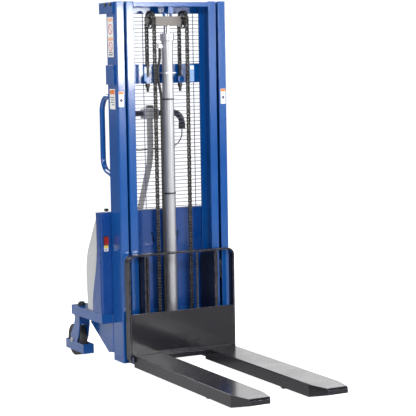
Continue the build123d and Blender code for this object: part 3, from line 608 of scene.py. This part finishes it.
def copyOf(obj, shift=(0, 0, 0)):
    clearSelection()
    obj.select_set(True)
    bpy.context.view_layer.objects.active = obj
    bpy.ops.object.duplicate(linked=False)
    twin = bpy.context.object
    twin.location = Vector(obj.location) + Vector(shift)
    settle(twin)
    return twin


def finishPiece(obj, name, finish, body, angle=32):
    settle(obj)
    obj.name = name
    obj.data.name = name
    if finish:
        obj.data.materials.clear()
        obj.data.materials.append(materials[finish])
    clearSelection()
    obj.select_set(True)
    bpy.context.view_layer.objects.active = obj
    bpy.ops.object.shade_smooth_by_angle(angle=math.radians(angle))
    if body:
        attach(obj, body)
    return obj


def middle(node):
    low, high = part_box(node)
    return (low + high) / 2


alongX = (0, math.radians(90), 0)


def turnedDisc(place, radius, width, faces, steps, rounding):
    # A wheel or roller on the X axis: the end faces are inset and stepped like turned ones
    disc = startPiece("primitive_cylinder_add", vertices=faces, radius=radius, depth=width,
                      location=place, rotation=alongX)
    settle(disc)
    editMode(disc)
    pickFaces(disc, lambda c, n: abs(n.x) > 0.9)
    bpy.ops.mesh.select_mode(type="FACE")
    for thickness, depth in steps:
        bpy.ops.mesh.inset(thickness=thickness, depth=depth, use_individual=True)
    objectMode()
    applyModifier(disc, "BEVEL", width=rounding, segments=2, limit_method="ANGLE",
                  angle_limit=math.radians(40))
    return disc


def paintFaces(obj, finish, test):
    # Gives the faces that pass the test their own finish
    obj.data.materials.append(materials[finish])
    index = len(obj.data.materials) - 1
    for face in obj.data.polygons:
        if test(face.center, face.normal):
            face.material_index = index


# chains
chain = {
    "pitch": 0.015875, "plateHeight": 0.0145, "plateSteel": 0.0016, "plateGap": 0.0003,
    "plateEnds": 0.46,  # corner radius as a share of the plate's height
    "plateLong": 0.92, "waist": 0.92, "rollerRadius": 0.0074, "pinRadius": 0.0026, "wrapLinks": 9,
}


def linkPlate(x, z, steel):
    # A flat bar with round ends, standing across X
    plate = startPiece("primitive_cube_add", size=1, location=(x, 0, z))
    tall = chain["pitch"] + chain["plateHeight"] * chain["plateLong"]
    plate.scale = (steel, chain["plateHeight"], tall)
    settle(plate)
    editMode(plate)
    pickEdges(plate, lambda a, b: abs(a.x - b.x) > steel * 0.5)
    bpy.ops.mesh.bevel(offset=chain["plateHeight"] * chain["plateEnds"], segments=3, affect="EDGES")
    objectMode()
    # the waist between the two ends
    for vertex in plate.data.vertices:
        if abs(vertex.co.z - z) < chain["pitch"] * 0.52:
            vertex.co.y *= chain["waist"]
    return plate


def chainPair(wide):
    # One wide and one narrow link with their rollers and pins, two pitches long
    parts = []
    steel = chain["plateSteel"]
    outer = wide / 2 - steel
    inner = outer - steel - chain["plateGap"]
    half = chain["pitch"] / 2
    for side in (-1, 1):
        parts.append(linkPlate(side * outer, half, steel))
        parts.append(linkPlate(side * inner, half + chain["pitch"], steel))
    for z in (0, chain["pitch"]):
        roller = startPiece("primitive_cylinder_add", vertices=10, radius=chain["rollerRadius"],
                            depth=2 * inner, location=(0, 0, z), rotation=alongX)
        parts.append(roller)
        pin = startPiece("primitive_cylinder_add", vertices=8, radius=chain["pinRadius"],
                         depth=wide, location=(0, 0, z), rotation=alongX)
        parts.append(pin)
    for part in parts:
        settle(part)
    pair = joinAll(parts)
    settle(pair)
    return pair


def chainStrand(x, y, zLow, zHigh, wide):
    count = int((zHigh - zLow) / (2 * chain["pitch"]) + 0.001)
    strand = chainPair(wide)
    spare = (zHigh - zLow) - count * 2 * chain["pitch"]
    stretch = 1 + spare / (count * 2 * chain["pitch"])
    applyModifier(strand, "ARRAY", count=count, use_relative_offset=False, use_constant_offset=True,
                  constant_offset_displace=(0, 0, 2 * chain["pitch"]))
    strand.scale = (1, 1, stretch)
    strand.location = (x, y, zLow)
    settle(strand)
    for vertex in strand.data.vertices:
        vertex.co.z = min(max(vertex.co.z, zLow), zHigh)
    return strand


frontLow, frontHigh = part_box("front_chains")
backLow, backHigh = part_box("back_chains")
sprocketLow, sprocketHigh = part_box("sprocket_left")
shaftZ = (sprocketLow.z + sprocketHigh.z) / 2
shaftY = (sprocketLow.y + sprocketHigh.y) / 2
chainX = abs(middle("sprocket_left").x)
chainWide = 2 * (frontHigh.x - chainX)
frontY = (frontLow.y + frontHigh.y) / 2
backY = (backLow.y + backHigh.y) / 2

for label, low, high, y, a, b, node in (
    ("front", frontLow, frontHigh, frontY, "carriage", "inner_mast", "front_chains"),
    ("back", backLow, backHigh, backY, "chassis", "inner_mast", "back_chains"),
):
    strands = [
        chainStrand(x, y, low.z, high.z, chainWide)
        for x in (-chainX, chainX)
    ]
    both = joinAll(strands)
    finishPiece(both, f"{label}Chains", "chainSteel", None, angle=25)
    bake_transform(both)
    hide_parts(node)

wrapParts = []
for x in (-chainX, chainX):
    pair = chainPair(chainWide)
    step = math.pi / chain["wrapLinks"]
    for i in range(chain["wrapLinks"] // 2 + 1):
        turned = copyOf(pair)
        turned.location = (x, frontY, shaftZ)
        settle(turned)
        # each pair is bent at its middle pin so that it follows the sprocket
        for vertex in turned.data.vertices:
            height = (vertex.co.z - shaftZ) / chain["pitch"]
            angle = step * (2 * i + height)
            out = shaftY - vertex.co.y
            angle = min(angle, math.pi)
            vertex.co.y = shaftY - out * math.cos(angle)
            vertex.co.z = shaftZ + out * math.sin(angle)
        wrapParts.append(turned)
    bpy.data.objects.remove(pair)
wraps = joinAll(wrapParts)
finishPiece(wraps, "chainWraps", "chainSteel", "inner_mast", angle=25)
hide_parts("chain_wraps")
print("stage: chains")

# sprockets
sprocketLook = {"teeth": 18, "tip": 0.0405, "root": 0.0372, "web": 0.0085, "band": 0.0075,
                "spokes": 5, "spokeWide": 0.0105, "hub": 0.020, "hubLong": 0.026}


def ringPlate(place, radius, thick, band, faces):
    # A flat ring on the X axis
    ring = startPiece("primitive_cylinder_add", vertices=faces, radius=radius, depth=thick,
                      location=place, rotation=alongX)
    settle(ring)
    editMode(ring)
    pickFaces(ring, lambda c, n: abs(n.x) > 0.9)
    bpy.ops.mesh.inset(thickness=band, depth=0, use_individual=True)
    bpy.ops.mesh.bridge_edge_loops()
    objectMode()
    return ring


for label, side in (("left", -1), ("right", 1)):
    look = sprocketLook
    hubPlace = Vector((side * chainX, shaftY, shaftZ))
    rim = ringPlate(hubPlace, look["tip"], look["web"], look["band"], look["teeth"] * 4)
    for vertex in rim.data.vertices:  # the toothed edge
        arm = vertex.co - hubPlace
        arm.x = 0
        if arm.length > look["tip"] - 0.002:
            turn = math.atan2(arm.z, arm.y) / (2 * math.pi) * look["teeth"]
            depth = 0.5 - 0.5 * math.cos(2 * math.pi * turn)
            shrink = 1 - depth * (1 - look["root"] / look["tip"])
            vertex.co.y = hubPlace.y + arm.y * shrink
            vertex.co.z = hubPlace.z + arm.z * shrink
    parts = [rim]
    band = ringPlate(hubPlace, look["root"] - 0.0012, look["web"] + 0.0016, 0.0030, 60)
    band.data.materials.append(materials["zincPlate"])
    rim.data.materials.append(materials["chainSteel"])
    parts.append(band)
    for i in range(look["spokes"]):
        angle = 2 * math.pi * i / look["spokes"] + math.pi / 2
        reach = (look["hub"] + look["root"] - 0.004) / 2
        spoke = startPiece("primitive_cube_add", size=1, location=(
            hubPlace.x, hubPlace.y + reach * math.cos(angle), hubPlace.z + reach * math.sin(angle)))
        spoke.scale = (look["web"] * 0.8, look["root"] - look["hub"] + 0.004, look["spokeWide"])
        spoke.rotation_euler = (angle, 0, 0)
        settle(spoke)
        applyModifier(spoke, "BEVEL", width=0.0012, segments=2)
        spoke.data.materials.append(materials["chainSteel"])
        parts.append(spoke)
    hub = turnedDisc(hubPlace, look["hub"], look["hubLong"], 40,
                     [(0.0012, 0.0), (0.002, -0.0015), (0.002, 0.0)], 0.0008)
    hub.data.materials.append(materials["chainSteel"])
    parts.append(hub)
    wheel = joinAll(parts)
    finishPiece(wheel, f"sprocketWheel_{label}", None, f"sprocket_{label}")
    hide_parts(f"sprocket_{label}")
print("stage: sprockets")

# wheels
casterLook = {
    "faces": 72, "tyre": 0.0235, "rounding": 0.0035,
    "steps": [  # each ring of the side face: how far in, how deep
        (0.004, 0.0), (0.018, -0.0006), (0.002, -0.006),
        (0.016, -0.002), (0.002, 0.0045), (0.010, 0.0),
    ],
}
rollerLook = {
    "faces": 56, "tyre": 0.0098, "rounding": 0.002,
    "steps": [(0.003, 0.0), (0.006, -0.0005), (0.0015, -0.002), (0.006, 0.0), (0.001, 0.001)],
}


def turnedWheel(node, look):
    # A wheel in the place of the node, and a test for the faces inside its tyre
    low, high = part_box(node)
    centre = (low + high) / 2
    radius = (high.z - low.z) / 2
    wheel = turnedDisc(centre, radius, high.x - low.x, look["faces"], look["steps"],
                       look["rounding"])

    def insideTyre(c, n):
        return math.hypot(c.y - centre.y, c.z - centre.z) < radius - look["tyre"]

    return wheel, insideTyre


for label in ("left", "right"):
    wheel, insideTyre = turnedWheel(f"caster_wheel_{label}", casterLook)
    finishPiece(wheel, f"casterTyre_{label}", "wheelBlack", f"caster_wheel_{label}")
    paintFaces(wheel, "castGrey", insideTyre)
    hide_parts(f"caster_wheel_{label}")

    roller, insideTyre = turnedWheel(f"load_roller_{label}", rollerLook)
    finishPiece(roller, f"loadRollerTyre_{label}", "wheelBlack", f"load_roller_{label}")
    paintFaces(roller, "zincPlate", insideTyre)
    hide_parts(f"load_roller_{label}")
print("stage: wheels")

# stop button
stopLook = {
    "stem": 0.0042, "stemShare": 0.71, "capShare": 0.86, "rounding": 0.0012,
    "grooves": 12, "grooveDepth": 0.05, "grooveFrom": 0.8,  # shares of the cap's radius
    "topSteps": [(0.003, 0), (0.004, -0.0008)],
}
low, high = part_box("stop_button")
buttonMid = (low + high) / 2
buttonRadius = (high.x - low.x) / 2
capLow = low.z + (high.z - low.z) * stopLook["stemShare"]
knob = startPiece("primitive_cylinder_add", vertices=48,
                  radius=buttonRadius * stopLook["capShare"], depth=high.z - capLow,
                  location=(buttonMid.x, buttonMid.y, (high.z + capLow) / 2))
settle(knob)
editMode(knob)
pickFaces(knob, lambda c, n: n.z > 0.9)
for thickness, depth in stopLook["topSteps"]:
    bpy.ops.mesh.inset(thickness=thickness, depth=depth)
objectMode()
for vertex in knob.data.vertices:  # finger grooves round the rim
    arm = Vector((vertex.co.x - buttonMid.x, vertex.co.y - buttonMid.y))
    if arm.length > buttonRadius * stopLook["grooveFrom"]:
        ripple = 1 + stopLook["grooveDepth"] * math.cos(stopLook["grooves"] * math.atan2(arm.y, arm.x))
        vertex.co.x = buttonMid.x + arm.x * ripple
        vertex.co.y = buttonMid.y + arm.y * ripple
applyModifier(knob, "BEVEL", width=stopLook["rounding"], segments=3, limit_method="ANGLE",
              angle_limit=math.radians(40))
knob.data.materials.append(materials["knobBlack"])
stem = startPiece("primitive_cylinder_add", vertices=24, radius=stopLook["stem"],
                  depth=capLow - low.z + 0.001,
                  location=(buttonMid.x, buttonMid.y, (low.z + capLow) / 2))
settle(stem)
editMode(stem)
pickFaces(stem, lambda c, n: n.z < -0.9)
bpy.ops.mesh.inset(thickness=0.0004, depth=0)
bpy.ops.mesh.extrude_region_move(TRANSFORM_OT_translate={"value": (0, 0, 0.0008)})
objectMode()
stem.data.materials.append(materials["rodChrome"])
knob = joinAll([knob, stem])
finishPiece(knob, "stopKnob", None, "stop_button")
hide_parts("stop_button")
print("stage: stop button")

# ties round the cylinder and hose
tieLook = {
    "heights": (1.366, 0.885), "wide": 0.0075, "thick": 0.0016, "slack": 0.0008,
    "headSize": (0.009, 0.006, 0.010), "headPlace": (0.55, 0.92),  # in barrel radii
    "tailSize": (0.012, 0.0015, 0.0045), "tailPlace": (0.74, 1.02), "turn": -30,
}
barrelLow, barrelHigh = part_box("cylinder_barrel")
barrelX = (barrelLow.x + barrelHigh.x) / 2
barrelY = (barrelLow.y + barrelHigh.y) / 2
barrelRadius = (barrelHigh.x - barrelLow.x) / 2
ties = []
for height in tieLook["heights"]:
    band = startPiece("primitive_cylinder_add", vertices=48, end_fill_type="NOTHING",
                      radius=barrelRadius + tieLook["slack"], depth=tieLook["wide"],
                      location=(barrelX, barrelY, height))
    settle(band)
    applyModifier(band, "SOLIDIFY", thickness=tieLook["thick"], offset=1)
    ties.append(band)
    for part, rounding, segments in (("head", 0.0012, 2), ("tail", 0.0004, 1)):
        across, forward = tieLook[part + "Place"]
        block = startPiece("primitive_cube_add", size=1, location=(
            barrelX - barrelRadius * across, barrelY - barrelRadius * forward, height))
        block.scale = tieLook[part + "Size"]
        block.rotation_euler = (0, 0, math.radians(tieLook["turn"]))
        settle(block)
        applyModifier(block, "BEVEL", width=rounding, segments=segments)
        ties.append(block)
finishPiece(joinAll(ties), "cylinderTies", "tieBlack", "chassis")
print("stage: ties")

# ribbed grips on the tiller bar
gripLook = {"rings": 15, "bend": 0.055, "start": 0.003, "rib": 0.0020, "step": 0.0075}
tillerLow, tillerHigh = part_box("tiller_bar")
barRadius = (tillerHigh.y - tillerLow.y) / 2
barHalf = tillerHigh.x - barRadius
barY = (tillerLow.y + tillerHigh.y) / 2
barTop = tillerHigh.z - barRadius
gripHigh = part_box("tiller_grips")[1].z
ribs = []
for side in (-1, 1):
    for i in range(gripLook["rings"]):
        along = gripLook["start"] + i * gripLook["step"]
        straight = barTop - gripLook["bend"] - gripHigh
        if along < straight:
            x, z, lean = barHalf, gripHigh + along, 0.0
        else:
            lean = (along - straight) / gripLook["bend"]
            x = barHalf - gripLook["bend"] * (1 - math.cos(lean))
            z = barTop - gripLook["bend"] * (1 - math.sin(lean))
        if lean > math.radians(85):
            continue
        rib = startPiece("primitive_torus_add", major_segments=20, minor_segments=6,
                         major_radius=barRadius, minor_radius=gripLook["rib"],
                         location=(side * x, barY, z), rotation=(0, -side * lean, 0))
        ribs.append(rib)
for rib in ribs:
    settle(rib)
finishPiece(joinAll(ribs), "gripRibs", "gripRubber", "tiller")
print("stage: grips")

# dark nuts on the caster pins
nutLook = {
    "radius": 0.0203, "tall": 0.0140, "lift": 0.0075, "pinBack": 0.080,
    "capRadius": 0.0140, "capTall": 0.0062, "capDrop": 0.0030,
    "capSteps": [(0.001, 0.0), (0.004, -0.0008)],  # how far in, how deep
}
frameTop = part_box("caster_frame")[1].z
for label, side in (("left", -1), ("right", 1)):
    low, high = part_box(f"caster_fork_{label}")
    pinX = (low.x + high.x) / 2
    pinY = low.y + nutLook["pinBack"]
    nut = startPiece("primitive_cylinder_add", vertices=6, radius=nutLook["radius"],
                     depth=nutLook["tall"], location=(pinX, pinY, frameTop + nutLook["lift"]))
    settle(nut)
    applyModifier(nut, "BEVEL", width=0.0016, segments=2, limit_method="ANGLE",
                  angle_limit=math.radians(70))
    cap = turnedDisc((0, 0, 0), nutLook["capRadius"], nutLook["capTall"], 24,
                     nutLook["capSteps"], 0.0006)
    cap.rotation_euler = alongX  # stood upright on the pin
    cap.location = (pinX, pinY, high.z - nutLook["capDrop"])
    settle(cap)
    finishPiece(joinAll([nut, cap]), f"pinNut_{label}", "tieBlack", f"caster_{label}")
print("stage: caster nuts")

# labels
stickerThick = 0.0004
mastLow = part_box("outer_channel_left")[0]
mastFront = mastLow.y
mastLeft = mastLow.x
stickers = {
    # name: facing, plane, patches of (finish, u0, v0, u1, v1, layer), where u runs to the right
    "labelSideUpper": dict(
        facing="left", plane=mastLeft, slot="mast_blue",
        patches=[
            ("labelWhite", 0.335, 1.583, 0.405, 1.782, 1),
            ("labelPeach", 0.339, 1.760, 0.401, 1.778, 2),
            ("labelPeach", 0.339, 1.665, 0.401, 1.681, 2),
            ("labelDark", 0.345, 1.592, 0.395, 1.598, 2),
            ("labelDark", 0.345, 1.604, 0.395, 1.608, 2),
        ],
        rings=[(0.370, 1.722, 0.026), (0.370, 1.636, 0.024)],
    ),
    "labelSideLower": dict(
        facing="left", plane=mastLeft, slot="mast_blue",
        patches=[
            ("labelWhite", 0.330, 1.323, 0.395, 1.424, 1),
            ("labelOrange", 0.334, 1.398, 0.391, 1.420, 2),
            ("labelDark", 0.338, 1.380, 0.387, 1.384, 2),
            ("labelDark", 0.338, 1.368, 0.380, 1.372, 2),
            ("labelDark", 0.338, 1.356, 0.387, 1.360, 2),
            ("labelDark", 0.338, 1.344, 0.372, 1.348, 2),
        ],
        rings=[],
    ),
    "labelWing": dict(
        facing="front", plane=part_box("body_shell")[0].y, slot="shell_blue",
        patches=[
            ("labelWhite", -0.3455, 0.600, -0.3215, 0.631, 1),
            ("labelYellow", -0.3445, 0.617, -0.3225, 0.630, 2),
            ("labelDark", -0.3435, 0.610, -0.3235, 0.6125, 2),
            ("labelDark", -0.3435, 0.604, -0.3285, 0.6065, 2),
        ],
        rings=[],
    ),
    "labelBeamLeft": dict(
        facing="front", plane=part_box("outer_mid_beam")[0].y, slot="mast_blue",
        patches=[
            ("labelBlue", -0.1455, 1.458, -0.1325, 1.534, 1),
            ("labelWhite", -0.1440, 1.500, -0.1340, 1.530, 2),
        ],
        rings=[],
    ),
    "labelBeamRight": dict(
        facing="front", plane=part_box("outer_mid_beam")[0].y, slot="mast_blue",
        patches=[
            ("labelBlue", 0.111, 1.452, 0.135, 1.538, 1),
            ("labelWhite", 0.114, 1.515, 0.132, 1.533, 2),
        ],
        rings=[],
    ),
    "labelFlangeLeft": dict(
        facing="front", plane=mastFront, slot="mast_blue",
        patches=[
            ("labelWhite", -0.302, 1.335, -0.274, 1.412, 1),
            ("labelOrange", -0.301, 1.398, -0.275, 1.411, 2),
            ("labelDiamond", -0.288, 1.368, 0.010, 0, 2),
        ],
        rings=[],
    ),
    "labelFlangeRight": dict(
        facing="front", plane=mastFront, slot="mast_blue",
        patches=[
            ("labelWhite", 0.272, 1.335, 0.300, 1.412, 1),
            ("labelOrange", 0.273, 1.398, 0.299, 1.411, 2),
            ("labelDiamond", 0.286, 1.368, 0.010, 0, 2),
        ],
        rings=[],
    ),
}


def addPatch(finish, corners, layer, facing, plane):
    u0, v0, u1, v1 = corners
    diamond = finish == "labelDiamond"  # u0, v0 is then its middle, and u1 its half width
    sideways = facing == "left"
    if diamond:
        centre, size = (u0, v0), (u1 * 1.4, u1 * 1.4)
    else:
        centre, size = ((u0 + u1) / 2, (v0 + v1) / 2), (u1 - u0, v1 - v0)
    thick = stickerThick * layer
    out = plane - thick / 2
    place = (out, centre[0], centre[1]) if sideways else (centre[0], out, centre[1])
    patch = startPiece("primitive_cube_add", size=1, location=place)
    patch.scale = (thick, size[0], size[1]) if sideways else (size[0], thick, size[1])
    if diamond:
        turn = math.radians(45)
        patch.rotation_euler = (turn, 0, 0) if sideways else (0, turn, 0)
    settle(patch)
    editMode(patch)
    across = 0 if sideways else 1
    pickEdges(patch, lambda a, b: abs(a[across] - b[across]) > thick * 0.5)
    bpy.ops.mesh.bevel(offset=min(0.0025, min(size) * 0.2), segments=3, affect="EDGES")
    objectMode()
    patch.data.materials.append(materials["labelDark" if diamond else finish])
    return patch


def addRing(place, radius, layer, plane):
    # A plain ring with a bar across, cut as one flat patch
    centre = (plane - stickerThick * layer / 2, place[0], place[1])
    ring = startPiece("primitive_cylinder_add", vertices=40, radius=radius, depth=stickerThick * layer,
                      location=centre, rotation=alongX)
    settle(ring)
    editMode(ring)
    pickFaces(ring, lambda c, n: abs(n.x) > 0.9)
    bpy.ops.mesh.inset(thickness=radius * 0.2, depth=0, use_individual=True)
    bpy.ops.mesh.bridge_edge_loops()
    objectMode()
    bar = startPiece("primitive_cube_add", size=1, location=centre)
    bar.scale = (stickerThick * layer, radius * 1.7, radius * 0.18)
    bar.rotation_euler = (math.radians(45), 0, 0)
    settle(bar)
    ring = joinAll([ring, bar])
    ring.data.materials.append(materials["labelRed"])
    return ring


for name, spec in stickers.items():
    parts = [addPatch(p[0], p[1:5], p[5], spec["facing"], spec["plane"]) for p in spec["patches"]]
    parts += [addRing((u, v), r, 2, spec["plane"]) for u, v, r in spec["rings"]]
    finishPiece(joinAll(parts), name, None, "chassis", angle=20)
print("stage: labels")

# weld beads
weldLook = {
    "step": 0.0042, "long": 0.0036, "tall": 0.0026, "guardBars": (-0.190, -0.085, 0.085, 0.190),
    "barHalf": 0.007, "handleX": 0.291, "collarRadius": 0.0145, "collarSides": 7,
}


def weldRow(start, end):
    # Overlapping ripples laid in a straight row from start to end
    start, end = Vector(start), Vector(end)
    along = end - start
    count = max(2, int(along.length / weldLook["step"]))
    bead = startPiece("primitive_uv_sphere_add", segments=8, ring_count=5, radius=1, location=start)
    turn = along.to_track_quat("X", "Z")
    bead.rotation_mode = "QUATERNION"
    bead.rotation_quaternion = turn
    bead.scale = (weldLook["long"], weldLook["tall"], weldLook["tall"])
    settle(bead)
    step = along / count
    applyModifier(bead, "ARRAY", count=count + 1, use_relative_offset=False,
                  use_constant_offset=True, constant_offset_displace=tuple(step))
    return bead


def weldCollar(place, radius, turn):
    collar = startPiece("primitive_torus_add", major_segments=28,
                        minor_segments=weldLook["collarSides"], major_radius=radius,
                        minor_radius=weldLook["tall"], location=place, rotation=turn)
    settle(collar)
    middlePoint = Vector(place)
    for i, vertex in enumerate(collar.data.vertices):  # ripples round the collar
        ripple = 1 + 0.035 * math.sin((i // weldLook["collarSides"]) * math.pi)
        vertex.co = middlePoint + (vertex.co - middlePoint) * ripple
    return collar


plateLow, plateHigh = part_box("load_plate")
forkWelds = []
for label in ("left", "right"):
    low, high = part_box(f"fork_{label}")
    forkWelds.append(weldRow((low.x + 0.006, plateLow.y, high.z),
                             (high.x - 0.006, plateLow.y, high.z)))
for x in weldLook["guardBars"]:
    forkWelds.append(weldRow((x - weldLook["barHalf"], plateLow.y + 0.001, plateHigh.z),
                             (x + weldLook["barHalf"], plateLow.y + 0.001, plateHigh.z)))
guardLow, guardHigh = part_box("backrest_frame")
for x in (guardLow.x + 0.009, guardHigh.x - 0.009):
    forkWelds.append(weldRow((x, plateLow.y, plateLow.z + 0.01),
                             (x, plateLow.y, plateHigh.z - 0.004)))
finishPiece(joinAll(forkWelds), "forkWelds", "weldBlack", "carriage")

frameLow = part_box("caster_frame")[0]
gussetLow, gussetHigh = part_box("side_gussets")
handleLow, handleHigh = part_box("grab_handles")
frameWelds = []
for side in (-1, 1):
    x = side * gussetHigh.x
    frameWelds.append(weldRow((x, gussetLow.y + 0.01, frameLow.z),
                              (x, gussetHigh.y - 0.01, frameLow.z)))
    frameWelds.append(weldRow((x, gussetLow.y, gussetLow.z + 0.015),
                              (x, gussetLow.y, frameLow.z - 0.004)))
    for z in (handleLow.z + 0.014, handleHigh.z - 0.014):
        frameWelds.append(weldCollar((side * weldLook["handleX"], handleLow.y + 0.001, z),
                                     weldLook["collarRadius"], (math.radians(90), 0, 0)))
finishPiece(joinAll(frameWelds), "frameWelds", "weldBlue", "chassis")
print("stage: welds")

# pale bead along the cover's seam
shellLow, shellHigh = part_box("body_shell")
seamLook = {
    "thick": 0.0024,
    "reach": [  # share of the height, and how far behind the mast's front face
        (1.0, 0.178), (0.85, 0.173), (0.746, 0.173), (0.60, 0.178), (0.488, 0.186),
        (0.39, 0.200), (0.29, 0.217), (0.20, 0.231), (0.119, 0.240), (0.05, 0.2405), (0.0, 0.238),
    ],
}
beads = []
for side in (-1, 1):
    clearSelection()
    bpy.ops.curve.primitive_nurbs_path_add()
    line = bpy.context.object
    spline = line.data.splines[0]
    spline.points.add(len(seamLook["reach"]) - len(spline.points))
    for point, (share, reach) in zip(spline.points, seamLook["reach"]):
        z = shellLow.z + 0.002 + share * (shellHigh.z - shellLow.z - 0.004)
        point.co = (side * (shellHigh.x - 0.0025), mastFront + reach + 0.001, z, 1)
    spline.order_u = 3
    spline.use_endpoint_u = True
    spline.resolution_u = 6
    line.data.bevel_depth = seamLook["thick"]
    line.data.bevel_resolution = 2
    line.data.use_fill_caps = True
    bpy.ops.object.convert(target="MESH")
    beads.append(bpy.context.object)
finishPiece(joinAll(beads), "coverBead", "creamBead", "chassis", angle=60)
print("stage: cover bead")

# bezel round the charging socket
bezelLook = {"proud": 0.0016, "wall": 0.0030}
low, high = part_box("charge_socket")
bezel = startPiece("primitive_cube_add", size=1, location=(
    (low.x + high.x) / 2, shellLow.y - bezelLook["proud"] / 2, (low.z + high.z) / 2))
border = 2 * bezelLook["wall"]
bezel.scale = (high.x - low.x + border, bezelLook["proud"], high.z - low.z + border)
settle(bezel)
editMode(bezel)
pickFaces(bezel, lambda c, n: abs(n.y) > 0.9)
bpy.ops.mesh.inset(thickness=bezelLook["wall"] - 0.0002, depth=0, use_individual=True)
bpy.ops.mesh.bridge_edge_loops()
objectMode()
applyModifier(bezel, "BEVEL", width=0.0005, segments=2, limit_method="ANGLE",
              angle_limit=math.radians(40))
finishPiece(bezel, "socketBezel", "tieBlack", "chassis")
print("stage: socket bezel")
